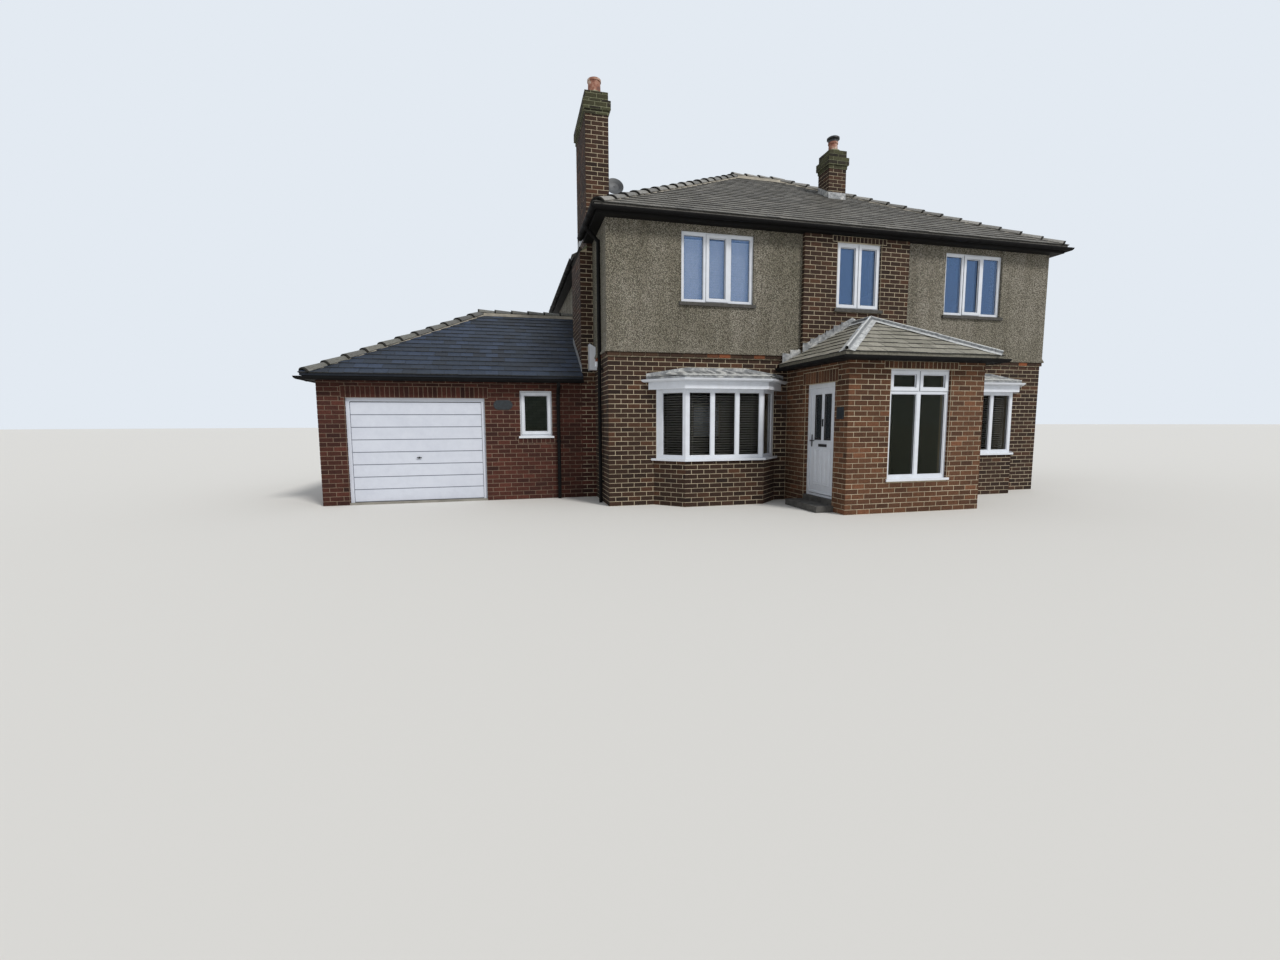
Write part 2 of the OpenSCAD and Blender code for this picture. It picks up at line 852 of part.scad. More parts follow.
module downpipes()
    color("black")
        difference() {
            union() {
                translate([0, side_pipe_y, 0])
                    rotate([0, 0, -90])
                        downpipe_on_dash();
                translate([house_w, side_pipe_y, 0])
                    rotate([0, 0, 90])
                        downpipe_on_dash();
                translate([garage_pipe_x, garage_y, 0])
                    downpipe(garage_z - roof_t - 12, garage_eaves + gutter_r);
            }
            upper_envelope();
            translate([0, 0, slate_z - roof_t - 12])
                for (x = [-eaves_out - gutter_r, house_w + eaves_out + gutter_r])
                    translate([x, 0, 0])
                        rotate([-90, 0, 0])
                            cylinder(h = 3000, r = gutter_r);
            translate([-3000, garage_y - garage_eaves - gutter_r, garage_z - roof_t - 12])
                rotate([0, 90, 0])
                    cylinder(h = 2900, r = gutter_r);
        }

// The side pipes pass the bell-cast, so they stand further off the brickwork
module downpipe_on_dash()
    mirror([1, 0, 0])
        downpipe(slate_z - roof_t - 12, eaves_out + gutter_r);

// Corbelled head: one course out a little, two courses out more, two back
module stack_head(x0, x1, y0, y1, top) {
    for (c = [[5, 4, corbel_step], [4, 2, corbel_out], [2, 0, 0]])
        box([x0 - c[2], y0 - c[2], top - c[0] * course], [x1 + c[2], y1 + c[2], top - c[1] * course]);
}

module left_chimney()
    color("saddlebrown")
        difference() {
            union() {
                box([-breast_out, garage_y, 0], [0, breast_back, shoulder_z]);
                translate([0, breast_back, shoulder_z])
                    rotate([90, 0, 0])
                        linear_extrude(breast_d)
                            polygon([[-breast_out, 0], [-stack_out, shoulder_h], [0, shoulder_h], [0, 0]]);
                box([-stack_out, garage_y, shoulder_top],
                    [stack_right, breast_back, stack_top - 5 * course]);
                stack_head(-stack_out, stack_right, garage_y, breast_back, stack_top);
            }
            translate([stack_right / 2 - stack_out / 2, garage_y + 250, 0])
                box([-flue_w / 2, -flue_w / 2, shoulder_top + 400], [flue_w / 2, flue_w / 2, far]);
        }

module roof_chimney()
    color("saddlebrown")
        difference() {
            union() {
                box([small_stack_x, small_stack_y, small_stack_base],
                    [small_stack_x + stack_w, small_stack_y + stack_w, small_stack_top - 5 * course]);
                stack_head(small_stack_x, small_stack_x + stack_w, small_stack_y, small_stack_y + stack_w,
                    small_stack_top);
            }
            translate([small_stack_x + stack_w / 2, small_stack_y + stack_w / 2, 0])
                box([-flue_w / 2, -flue_w / 2, 0], [flue_w / 2, flue_w / 2, far]);
        }

// Tapered pot with a rolled rim
module pot(d, h)
    rotate_extrude($fn = round_fn)
        polygon([[d / 2 - pot_t, 0], [d / 2 + 10, 0], [d / 2 + 10, 40], [d / 2 - 8, 60],
            [d / 2 - 14, h - 45], [d / 2, h - 40], [d / 2, h], [d / 2 - pot_t - 8, h],
            [d / 2 - pot_t - 14, h - 40]]);

module chimney_pots()
    color("indianred") {
        translate([stack_right / 2 - stack_out / 2, garage_y + 250, stack_top])
            pot(big_pot_d, big_pot_h);
        translate([small_stack_x + stack_w / 2, small_stack_y + stack_w / 2, small_stack_top])
            pot(small_pot_d, small_pot_h);
    }

// Round cowl on a collar, standing on the right-hand pot
module pot_cowl()
    color("black")
        translate([small_stack_x + stack_w / 2, small_stack_y + stack_w / 2, small_pot_top])
            rotate_extrude($fn = round_fn)
                polygon([[small_pot_d / 2 - pot_t, 0], [small_pot_d / 2, 0], [small_pot_d / 2, 60],
                    [cowl_d / 2, 70], [cowl_d / 2, 105], [cowl_d / 2 - 20, 120], [40, 150], [0, 155],
                    [0, 140], [40, 135], [cowl_d / 2 - 30, 100], [small_pot_d / 2 - pot_t, 85]]);

// Band of lead that follows a roof slope, between plan outlines
module lead_band(r, h) {
    intersection() {
        difference() {
            roof_mass(r, h, 0, 0);
            roof_mass(r, seat_gap, 20, -10);
        }
        linear_extrude(far)
            children();
    }
}

module leadwork()
    color("slategray") {
        lead_band(main_roof_at, lead_h)
            difference() {
                translate([-stack_out - lead_t, garage_y - lead_t])
                    square([stack_w + 2 * lead_t, breast_d + 2 * lead_t]);
                translate([-stack_out, garage_y])
                    square([stack_w, breast_d]);
            }
        lead_band(main_roof_at, lead_h)
            difference() {
                translate([small_stack_x - lead_t, small_stack_y - lead_t])
                    square(stack_w + 2 * lead_t);
                translate([small_stack_x, small_stack_y])
                    square(stack_w);
            }
        difference() {
            lead_band(garage_roof_at, lead_h) {
                translate([-breast_out - lead_t, garage_y - 20])
                    square([lead_t, breast_d + lead_t + 20]);
                translate([-breast_out - lead_t, breast_back])
                    square([breast_out + lead_t - dash_t, lead_t]);
                translate([-dash_t - lead_t, breast_back])
                    square([lead_t, garage_d - breast_d + garage_out]);
            }
            upper_envelope();
        }
        lead_band(porch_roof_at, lead_h)
            translate([panel_x, -panel_out - lead_t])
                square([panel_w, lead_t]);
        both_bays()
            difference() {
                intersection() {
                    bay_mass(70, 0, 0);
                    box([-3000, -lead_t, 0], [3000, 0, far]);
                }
                bay_mass(seat_gap, 20, -10);
            }
    }

module upper_window_frames()
    color("white") {
        row_frames(UPPER_FRONT, upper_sill_z, upper_win_h);
        at_rear()
            row_frames(UPPER_REAR, upper_sill_z, upper_win_h);
    }

module stone_sills()
    color("dimgray") {
        row_sills(UPPER_FRONT, upper_sill_z);
        at_rear() {
            row_sills(UPPER_REAR, upper_sill_z);
            row_sills(GROUND_REAR, rear_sill_z);
        }
    }

module upper_glass()
    color("lightblue", 0.4) {
        row_panes(UPPER_FRONT, upper_sill_z, upper_win_h);
        at_rear()
            row_panes(UPPER_REAR, upper_sill_z, upper_win_h);
    }

// Two tall lights under two small ones
function porch_lights() =
    let (h = porch_win_top - porch_win_z - white_sill_h, t = transom_z - porch_win_z - white_sill_h)
    [for (q = lights(2, porch_win_w, h)) each [[q[0], q[1], q[2], t - mullion_w], [q[0], t, q[2], q[3]]]];

// White sill that runs under a frame and out past the wall face
module white_sill(w) {
    box([0, -frame_set, -white_sill_h], [w, frame_t, 0]);
    box([-30, -frame_set - 30, -white_sill_h], [w + 30, -frame_set, 0]);
}

module ground_window_frames()
    color("white") {
        at_rear()
            row_frames(GROUND_REAR, rear_sill_z, rear_win_h);
        translate([porch_win_x, -porch_out + frame_set, porch_win_z + white_sill_h]) {
            framed(porch_win_w, porch_win_top - porch_win_z - white_sill_h, porch_lights());
            white_sill(porch_win_w);
        }
        translate([garage_win_x, garage_y + frame_set, garage_win_z + white_sill_h]) {
            framed(garage_win_w, garage_win_top - garage_win_z - white_sill_h,
                lights(1, garage_win_w, garage_win_top - garage_win_z - white_sill_h));
            white_sill(garage_win_w);
        }
    }

module ground_glass()
    color("lightblue", 0.4) {
        at_rear()
            row_panes(GROUND_REAR, rear_sill_z, rear_win_h);
        translate([porch_win_x, -porch_out + frame_set, porch_win_z + white_sill_h])
            panes(porch_lights());
        translate([garage_win_x, garage_y + frame_set, garage_win_z + white_sill_h])
            panes(lights(1, garage_win_w, garage_win_top - garage_win_z - white_sill_h));
        both_bays()
            bay_lights((frame_t - glass_t) / 2, (frame_t + glass_t) / 2);
    }

module bay_plinths()
    color("saddlebrown")
        both_bays()
            linear_extrude(plinth_z)
                difference() {
                    polygon(bay_points(plinth_out, 0));
                    polygon(bay_points(plinth_out - thin_wall_t, 1));
                }

module bay_window_frames()
    color("white")
        both_bays() {
            translate([0, 0, plinth_z])
                linear_extrude(white_sill_h)
                    difference() {
                        polygon(bay_points(white_sill_out, 0));
                        polygon(bay_points(-frame_t, 1));
                    }
            difference() {
                translate([0, 0, bay_frame_z])
                    linear_extrude(bay_head_z - bay_frame_z)
                        difference() {
                            polygon(bay_points(0, 0));
                            polygon(bay_points(-frame_t, 1));
                        }
                bay_lights(-1, frame_t + 1);
            }
        }

// White fascia with the bay's ceiling board, its top cut to the slates
module bay_eaves()
    color("white")
        both_bays()
            intersection() {
                difference() {
                    translate([0, 0, bay_head_z])
                        linear_extrude(900)
                            polygon(bay_points(bay_fascia_out, 0));
                    translate([0, 0, bay_head_z + board_t])
                        linear_extrude(900)
                            polygon(bay_points(-board_t, 1));
                }
                bay_mass(-bay_roof_t, 10, 0);
            }

module bay_roofs()
    color("dimgray")
        both_bays()
            difference() {
                bay_mass(0, 0, bay_slate_z - bay_roof_t);
                bay_mass(-bay_roof_t, 10, bay_slate_z - bay_roof_t - 50);
            }

module bay_gutters()
    color("white")
        difference() {
            both_bays()
                intersection() {
                    translate([0, 0, bay_slate_z - bay_roof_t - 8]) {
                        g = bay_fascia_out;
                        half = bay_half + g * (root2 - 1);
                        mitre = root2 - 1;
                        translate([-half, -(bay_out + g), 0])
                            gutter_run(2 * half, bay_gutter_r, mitre, mitre);
                        for (m = [0, 1])
                            mirror([m, 0, 0])
                                translate([half, -(bay_out + g), 0])
                                    rotate([0, 0, 45])
                                        gutter_run((bay_out + g) * root2, bay_gutter_r, mitre, 1);
                    }
                    box([-3000, -3000, 0], [3000, 0, far]);
                }
            box([porch_x - 1, -far, 0], [porch_right + 1, 0, far]);
        }

// Porch floor, with the stone under the door frame and the step outside
module porch_floor()
    color("dimgray") {
        box([porch_x + thin_wall_t, -porch_out + thin_wall_t, 0], [porch_right - thin_wall_t, 0, floor_z]);
        box([porch_x, -door_frame_out, 0], [porch_x + thin_wall_t, -door_frame_out + door_frame_w, floor_z]);
        box([porch_x - step_out, -door_frame_out - 60, 0],
            [porch_x, -door_frame_out + door_frame_w + 60, step_z]);
    }

module porch_front_wall()
    color("firebrick")
        difference() {
            intersection() {
                box([porch_x, -porch_out, 0], [porch_right, -porch_out + thin_wall_t, far]);
                under_roof(porch_roof_at);
            }
            box([porch_win_x, -porch_out - 1, porch_win_z],
                [porch_win_x + porch_win_w, -porch_out + thin_wall_t + 1, porch_win_top]);
        }

// Space over the front door that the soldier course and its bearings take
module porch_lintel_space()
    box([porch_x - 1, -door_frame_out - bearing, door_frame_top],
        [porch_x + thin_wall_t + 1, -door_frame_out + door_frame_w + bearing, far]);

module porch_side_walls()
    color("firebrick")
        difference() {
            intersection() {
                for (x = [porch_x, porch_right - thin_wall_t])
                    box([x, -porch_out + thin_wall_t, 0], [x + thin_wall_t, 0, far]);
                under_roof(porch_roof_at);
            }
            porch_lintel_space();
            box([porch_x - 1, -door_frame_out, -1],
                [porch_x + thin_wall_t + 1, -door_frame_out + door_frame_w, far]);
            upper_envelope();
        }

module porch_door_lintel()
    color("firebrick")
        intersection() {
            box([porch_x, -door_frame_out - bearing, door_frame_top],
                [porch_x + thin_wall_t, -door_frame_out + door_frame_w + bearing, far]);
            under_roof(porch_roof_at);
            box([porch_x, -porch_out + thin_wall_t, 0], [porch_x + thin_wall_t, 0, far]);
        }

module porch_roof()
    color("dimgray")
        difference() {
            roof_shell(porch_roof_at);
            difference() {
                upper_envelope();
                box([panel_x, -panel_out, 0], [panel_x + panel_w, 0, soffit_z]);
            }
        }

// Local frame of the front door: u along the wall from its front edge, v into the wall from the frame's face
module in_door_frame()
    translate([porch_x + door_set, -door_frame_out, 0])
        mirror([1, -1, 0])
            children();

// Heights of the three hinges
function hinge_heights() = [leaf_z + 200, leaf_z + leaf_h / 2, leaf_z + leaf_h - 240];

module front_door_frame()
    color("white")
        in_door_frame() {
            difference() {
                box([0, 0, floor_z], [door_frame_w, frame_t, door_frame_top]);
                box([door_jamb_w, lip_t, floor_z + threshold_h],
                    [door_frame_w - door_jamb_w, frame_t + 1, door_frame_top - door_jamb_w]);
                box([door_jamb_w + door_gap + lip_w, -1, floor_z + threshold_h],
                    [door_frame_w - door_jamb_w - door_gap - lip_w, lip_t + 1,
                        door_frame_top - door_jamb_w - door_gap - lip_w]);
            }
            for (z = hinge_heights()) {
                translate([hinge_u, hinge_v, z]) {
                    cylinder(h = 35, r = knuckle_r);
                    cylinder(h = 76, r = hinge_pin_r);
                    box([-6.5, frame_t - hinge_v, 0], [0, 0, 35]);
                }
            }
        }

// Leaf with its two tall lights cut out and its panels raised, and the leaf half of each hinge
module front_door()
    color("white")
        in_door_frame() {
            translate([door_jamb_w + door_gap, leaf_v, leaf_z]) {
                difference() {
                    cube([leaf_w, leaf_t, leaf_h]);
                    door_panes(-1, leaf_t + 1);
                }
                for (x = [leaf_w / 2 - 250, leaf_w / 2 + 50])
                    box([x, -5, 170], [x + 200, 0, 820]);
            }
            for (z = hinge_heights()) {
                translate([hinge_u, hinge_v, z + 36])
                    difference() {
                        union() {
                            cylinder(h = 40, r = knuckle_r);
                            box([0, leaf_v + leaf_t - hinge_v, 0], [9, 0, 40]);
                            box([0 + door_gap / 2, leaf_v + leaf_t - hinge_v, 0],
                                [48, leaf_v + leaf_t - hinge_v + 4, 40]);
                        }
                        translate([0, 0, -1])
                            cylinder(h = 42, r = hinge_pin_r + pin_clear);
                    }
            }
        }

// The two tall lights, in the leaf's own frame
module door_panes(v0, v1)
    for (x = [leaf_w / 2 - 225, leaf_w / 2 + 75])
        box([x, v0, 1010], [x + 150, v1, leaf_h - 160]);

module front_door_glass()
    color("black", 0.6)
        in_door_frame()
            translate([door_jamb_w + door_gap, leaf_v, leaf_z])
                door_panes(leaf_t / 2 - 10, leaf_t / 2 + 10);

// Lever handles on long plates, knocker and letter plate
module front_door_furniture()
    color("black")
        in_door_frame()
            translate([door_jamb_w + door_gap, leaf_v, leaf_z]) {
                x = leaf_w - 55;
                for (s = [0, 1])
                    translate([0, s * leaf_t, 0])
                        mirror([0, 1 - s, 0]) {
                            box([x - 14, 0, 850], [x + 14, 8, 1070]);
                            translate([x, 8, 960])
                                rotate([-90, 0, 0])
                                    cylinder(h = 32, r = 9, $fn = round_fn);
                            translate([x + 9, 40, 960])
                                rotate([0, -90, 0])
                                    cylinder(h = 130, r = 9, $fn = round_fn);
                        }
                box([leaf_w / 2 - 130, -8, 855], [leaf_w / 2 + 130, 0, 905]);
                translate([leaf_w / 2, 0, 1330]) {
                    rotate([90, 0, 0])
                        cylinder(h = 14, r = 22, $fn = round_fn);
                    box([-10, -22, -110], [10, -6, 0]);
                    box([-10, -6, -110], [10, 0, -85]);
                }
            }

module garage_floor()
    color("gray")
        difference() {
            union() {
                box([-garage_w + thin_wall_t, garage_y + thin_wall_t, 0],
                    [0, garage_back - thin_wall_t, garage_floor_z]);
                box([garage_door_x, garage_y, 0],
                    [garage_door_x + garage_door_w, garage_y + thin_wall_t, garage_floor_z]);
            }
            left_chimney_space();
        }

// Space over the garage doorway that the soldier course and its bearings take
module garage_lintel_space(x0, x1)
    box([x0, garage_y, garage_door_top], [x1, garage_y + thin_wall_t, far]);

module garage_front_wall()
    color("brown")
        difference() {
            intersection() {
                box([-garage_w, garage_y, 0], [-breast_out, garage_y + thin_wall_t, far]);
                under_roof(garage_roof_at);
            }
            garage_lintel_space(garage_door_x - bearing, garage_door_x + garage_door_w + bearing);
            box([garage_door_x, garage_y - 1, -1],
                [garage_door_x + garage_door_w, garage_y + thin_wall_t + 1, far]);
            box([garage_win_x, garage_y - 1, garage_win_z],
                [garage_win_x + garage_win_w, garage_y + thin_wall_t + 1, garage_win_top]);
        }

module garage_door_lintel()
    color("brown")
        intersection() {
            garage_lintel_space(garage_door_x - bearing, garage_door_x + garage_door_w + bearing);
            under_roof(garage_roof_at);
        }

module garage_left_wall()
    color("brown")
        intersection() {
            box([-garage_w, garage_y + thin_wall_t, 0],
                [-garage_w + thin_wall_t, garage_back - thin_wall_t, far]);
            under_roof(garage_roof_at);
        }

module garage_rear_wall()
    color("brown")
        difference() {
            intersection() {
                box([-garage_w, garage_back - thin_wall_t, 0], [0, garage_back, far]);
                under_roof(garage_roof_at);
            }
            upper_envelope();
        }

module garage_roof()
    color("darkslategray")
        difference() {
            roof_shell(garage_roof_at);
            upper_envelope();
            box([-breast_out, -far, 0], [big, breast_back, far]);
        }

// Local frame of the garage door: u along the wall, v into the wall from the brick face
module in_garage_door()
    translate([garage_door_x, garage_y, 0])
        children();

// Puts a piece at both ends of the garage door
module both_ends()
    for (m = [0, 1])
        translate([m * garage_door_w, 0, 0])
            mirror([m, 0, 0])
                children();

module garage_door_frame()
    color("white")
        in_garage_door()
            difference() {
                box([0, go_set, garage_floor_z], [garage_door_w, go_back_v, garage_door_top]);
                box([go_jamb_w, go_set - 1, -1], [garage_door_w - go_jamb_w, go_back_v + 1, head_go_z]);
            }

// Webs of the steel channels that the rollers run in, and the fixed pivots of the lifting arms
module garage_door_tracks()
    color("silver")
        in_garage_door()
            both_ends() {
                box([track_u, go_back_v, garage_floor_z],
                    [track_u + track_t, pivot_v + slot_half + track_t, track_top]);
                box([track_u, go_back_v, pivot_z - 20], [track_u + track_w, pivot_v + 15, pivot_z + 20]);
                translate([track_u + track_w, pivot_v, pivot_z])
                    rotate([0, 90, 0])
                        cylinder(h = arm_u + arm_t + 4 - track_u - track_w, r = arm_pin_r, $fn = round_fn);
            }

// Front and back flanges of the channels, with the rollers between them
module garage_track_flanges()
    color("silver")
        in_garage_door()
            both_ends() {
                box([track_u + track_t, go_back_v, garage_floor_z],
                    [track_u + track_w, pivot_v - slot_half, track_top]);
                box([track_u + track_t, pivot_v + slot_half, garage_floor_z],
                    [track_u + track_w, pivot_v + slot_half + track_t, track_top]);
            }

// Pressed steel skin with grooves across it, folded back at its edges, on two upright stiffeners
module garage_door()
    color("white")
        in_garage_door()
            translate([go_jamb_w + go_side_gap, go_leaf_v, go_leaf_bottom]) {
                h = go_leaf_top - go_leaf_bottom;
                pitch = h / rib_n;
                lip = groove_w / 2 + skin_t;
                difference() {
                    cube([go_leaf_w, go_leaf_t, h]);
                    for (i = [1 : rib_n - 1])
                        translate([0, 0, i * pitch])
                            box([-1, -1, -groove_w / 2], [go_leaf_w + 1, groove_t, groove_w / 2]);
                    for (i = [0 : rib_n - 1])
                        box([edge_fold, skin_t, max(edge_fold, i * pitch + lip)],
                            [go_leaf_w - edge_fold, go_leaf_t + 1,
                                min(h - edge_fold, (i + 1) * pitch - lip)]);
                    box([edge_fold, groove_t + skin_t, edge_fold],
                        [go_leaf_w - edge_fold, go_leaf_t + 1, h - edge_fold]);
                }
                for (x = [go_leaf_w / 3, 2 * go_leaf_w / 3])
                    box([x - stiffener_w / 2, groove_t + skin_t, edge_fold],
                        [x + stiffener_w / 2, go_leaf_t, h - edge_fold]);
            }

// Brackets on the back of the leaf with their pins and rollers, and the handle
module garage_door_fittings()
    color("dimgray")
        in_garage_door() {
            u = go_jamb_w + go_side_gap;
            v = go_leaf_v + go_leaf_t;
            both_ends()
                for (q = [[pivot_z - arm_len, arm_u - 4, 0], [roller_z, track_u + 6, 1]]) {
                    box([u, v, q[0] - 20], [u + 10, pivot_v + 15, q[0] + 20]);
                    translate([q[1], pivot_v, q[0]])
                        rotate([0, 90, 0]) {
                            cylinder(h = u - q[1], r = arm_pin_r, $fn = round_fn);
                            if (q[2])
                                cylinder(h = 20, r = roller_r);
                        }
                }
            translate([garage_door_w / 2, go_leaf_v, (go_leaf_bottom + go_leaf_top) / 2 - 120]) {
                rotate([90, 0, 0])
                    cylinder(h = 22, r = 18);
                translate([0, -22, 0])
                    box([-45, -10, -9], [45, 0, 9]);
            }
        }

// Flat lifting arms, one behind each jamb
module garage_door_arms()
    color("silver")
        in_garage_door()
            both_ends()
                translate([arm_u, pivot_v, pivot_z])
                    rotate([90, 0, 90])
                        linear_extrude(arm_t)
                            difference() {
                                union() {
                                    circle(arm_w / 2);
                                    translate([-arm_w / 2, -arm_len])
                                        square([arm_w, arm_len]);
                                    translate([0, -arm_len])
                                        circle(arm_w / 2);
                                }
                                for (y = [0, -arm_len])
                                    translate([0, y])
                                        circle(arm_pin_r + pin_clear);
                            }

// Shallow dish on a bracket from the right face of the left stack
module satellite_dish()
    color("dimgray") {
        y = garage_y + 500;
        translate([stack_right + dish_off, y, dish_z])
            rotate([70, 0, 0])
                rotate_extrude($fn = round_fn)
                    polygon([[0, -40], [dish_r / 2, -30], [dish_r, 0], [dish_r, 8], [dish_r / 2, -20],
                        [0, -30]]);
        box([stack_right, y + 75, dish_z - 60], [stack_right + 12, y + 145, dish_z + 60]);
        box([stack_right + 12, y + 95, dish_z - 15], [stack_right + dish_off, y + 125, dish_z + 15]);
        box([stack_right + dish_off - 15, y + 25, dish_z - 15],
            [stack_right + dish_off + 15, y + 125, dish_z + 15]);
    }

module plaques()
    color("darkslateblue") {
        translate([sign_x, garage_y, sign_z])
            rotate([90, 0, 0])
                linear_extrude(plaque_t) {
                    square([sign_straight, sign_h], center = true);
                    for (x = [-sign_straight / 2, sign_straight / 2])
                        translate([x, 0])
                            circle(sign_h / 2);
                }
        translate([porch_x - plaque_t, -porch_out + 100, door_sign_z])
            cube([plaque_t, door_sign_w, door_sign_w]);
    }

module wall_fittings()
    color("white") {
        difference() {
            box([-box_out, box_y, box_z], [0, box_y + box_w, box_z + box_h]);
            translate([-box_out, box_y - 1, box_z + box_h])
                rotate([0, 30, 0])
                    cube([2 * box_out, box_w + 2, 100]);
            upper_envelope();
        }
        difference() {
            union() {
                box([-20, lamp_y - 50, lamp_z + 10], [0, lamp_y + 50, lamp_z + 110]);
                translate([-10 - lamp_r, lamp_y, lamp_z])
                    cylinder(h = 100, r = lamp_r);
            }
            upper_envelope();
        }
    }

translate([-house_w / 2, -house_d / 2, 0]) {
    main_floor();
    front_wall_ground();
    side_walls_ground();
    rear_wall_ground();
    upper_floor();
    front_wall_upper();
    side_walls_upper();
    rear_wall_upper();
    brick_panel();
    main_roof();
    ridge_tiles();
    eaves();
    gutters();
    downpipes();
    left_chimney();
    roof_chimney();
    chimney_pots();
    pot_cowl();
    leadwork();
    upper_window_frames();
    stone_sills();
    upper_glass();
    ground_window_frames();
    ground_glass();
    bay_plinths();
    bay_window_frames();
    bay_eaves();
    bay_roofs();
    bay_gutters();
    porch_floor();
    porch_front_wall();
    porch_side_walls();
    porch_door_lintel();
    porch_roof();
    front_door_frame();
    front_door();
    front_door_glass();
    front_door_furniture();
    garage_floor();
    garage_front_wall();
    garage_door_lintel();
    garage_left_wall();
    garage_rear_wall();
    garage_roof();
    garage_door_frame();
    garage_door_tracks();
    garage_track_flanges();
    garage_door();
    garage_door_fittings();
    garage_door_arms();
    satellite_dish();
    plaques();
    wall_fittings();
}
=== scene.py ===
"""The looks of the detached house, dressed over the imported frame.

Lengths are metres. Plans are measured from the front left corner of the main walls, as a surveyor
would, and CORNER moves them into the shared frame.
"""

import math

import bpy
import numpy as np
from mathutils import Euler, Matrix, Vector


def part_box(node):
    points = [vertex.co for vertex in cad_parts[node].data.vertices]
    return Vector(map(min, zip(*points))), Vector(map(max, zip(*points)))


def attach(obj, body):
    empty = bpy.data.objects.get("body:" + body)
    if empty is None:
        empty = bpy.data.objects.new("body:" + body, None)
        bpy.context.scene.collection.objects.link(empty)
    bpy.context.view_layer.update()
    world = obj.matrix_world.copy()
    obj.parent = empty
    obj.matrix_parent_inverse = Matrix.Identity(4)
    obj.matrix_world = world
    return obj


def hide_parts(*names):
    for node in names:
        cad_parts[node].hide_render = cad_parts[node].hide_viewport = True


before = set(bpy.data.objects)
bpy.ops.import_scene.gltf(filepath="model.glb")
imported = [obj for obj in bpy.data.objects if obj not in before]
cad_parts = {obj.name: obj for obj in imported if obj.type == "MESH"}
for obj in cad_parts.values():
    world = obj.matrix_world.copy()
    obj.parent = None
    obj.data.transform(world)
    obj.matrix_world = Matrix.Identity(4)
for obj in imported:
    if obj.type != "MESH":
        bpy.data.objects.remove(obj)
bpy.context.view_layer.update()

# Camera, floor and light
# A wide lens at eye height on the drive, turned towards the porch and tipped a little down.
# The light is a soft high sun from the front right with an even sky, at a level that keeps colours as they
# are written.
EYE = (-6.718, -14.112, 1.534)
TIPPED, TURNED, ROLLED = -5.944, -13.78, -0.251
camera = bpy.data.objects.new("camera", bpy.data.cameras.new("camera"))
camera.data.lens = 15.31
camera.data.sensor_width = 36
camera.data.clip_end = 900
camera.matrix_world = (
    Matrix.Translation(EYE)
    @ Euler((math.radians(90 + TIPPED), 0, math.radians(TURNED))).to_matrix().to_4x4()
    @ Matrix.Rotation(math.radians(ROLLED), 4, "Z")
)
bpy.context.scene.collection.objects.link(camera)
bpy.context.scene.camera = camera
bpy.context.scene.view_settings.view_transform = "Standard"


def linear(code):
    """An sRGB hex colour as the linear RGBA that a socket takes."""
    parts = [int(code[i : i + 2], 16) / 255 for i in (0, 2, 4)]
    return tuple(c / 12.92 if c <= 0.04045 else ((c + 0.055) / 1.055) ** 2.4 for c in parts) + (1.0,)


def add(tree, kind, inputs={}, stops=(), **settings):
    """One shader node with its settings. An input is a value, a node whose first output is linked, or a
    (node, output) pair."""
    made = tree.nodes.new("ShaderNode" + kind)
    for name, value in settings.items():
        setattr(made, name, value)
    for _ in stops[2:]:
        made.color_ramp.elements.new(0.5)
    for i, (place, code) in enumerate(stops):
        made.color_ramp.elements[i].position = place
        made.color_ramp.elements[i].color = linear(code)
    for name, value in inputs.items():
        link = (value, 0) if isinstance(value, bpy.types.Node) else value
        if isinstance(link, tuple) and isinstance(link[0], bpy.types.Node):
            tree.links.new(link[0].outputs[link[1]], made.inputs[name])
        else:
            made.inputs[name].default_value = value
    return made


def new_material(name):
    """A new material, its empty node tree, and the place of each point for its patterns."""
    made = bpy.data.materials.new(name)
    made.use_nodes = True
    tree = made.node_tree
    tree.nodes.clear()
    return made, tree, (add(tree, "TexCoord"), "Object")


def coat(tree, inputs):
    """The surface of a material."""
    add(tree, "OutputMaterial", {"Surface": add(tree, "BsdfPrincipled", inputs)})


def deselect():
    """Leaves nothing selected, in object mode."""
    if bpy.context.object and bpy.context.object.mode != "OBJECT":
        bpy.ops.object.mode_set(mode="OBJECT")
    bpy.ops.object.select_all(action="DESELECT")


# A matt floor in pale grey that only carries the shadow
deselect()
bpy.ops.mesh.primitive_plane_add(size=600)
floor = bpy.context.object
floor.name = "floor"
pale, tree, place = new_material("pale_floor")
coat(tree, {"Base Color": linear("d6d5d1"), "Roughness": 0.9})
floor.data.materials.append(pale)

sky = bpy.data.worlds.new("sky")
bpy.context.scene.world = sky
sky.use_nodes = True
tree = sky.node_tree
tree.nodes.clear()
path = add(tree, "LightPath")
seen = add(tree, "Math", {0: (path, "Is Camera Ray"), 1: (path, "Is Glossy Ray")}, operation="MAXIMUM")
seen = add(tree, "Math", {0: seen, 1: (path, "Is Transmission Ray")}, operation="MAXIMUM")
even = add(tree, "Background", {"Color": linear("f4f7fc"), "Strength": 0.62})
backdrop = add(tree, "Background", {"Color": linear("e3eaf2"), "Strength": 1.0})
add(tree, "OutputWorld", {"Surface": add(tree, "MixShader", {0: seen, 1: even, 2: backdrop})})

sun = bpy.data.objects.new("sun", bpy.data.lights.new("sun", "SUN"))
sun.data.energy = 2.1
sun.data.angle = math.radians(12)
sun.data.color = (1.0, 0.97, 0.93)
sun.rotation_euler = Vector((0.55, -1.0, 1.15)).to_track_quat("Z", "Y").to_euler()
bpy.context.scene.collection.objects.link(sun)

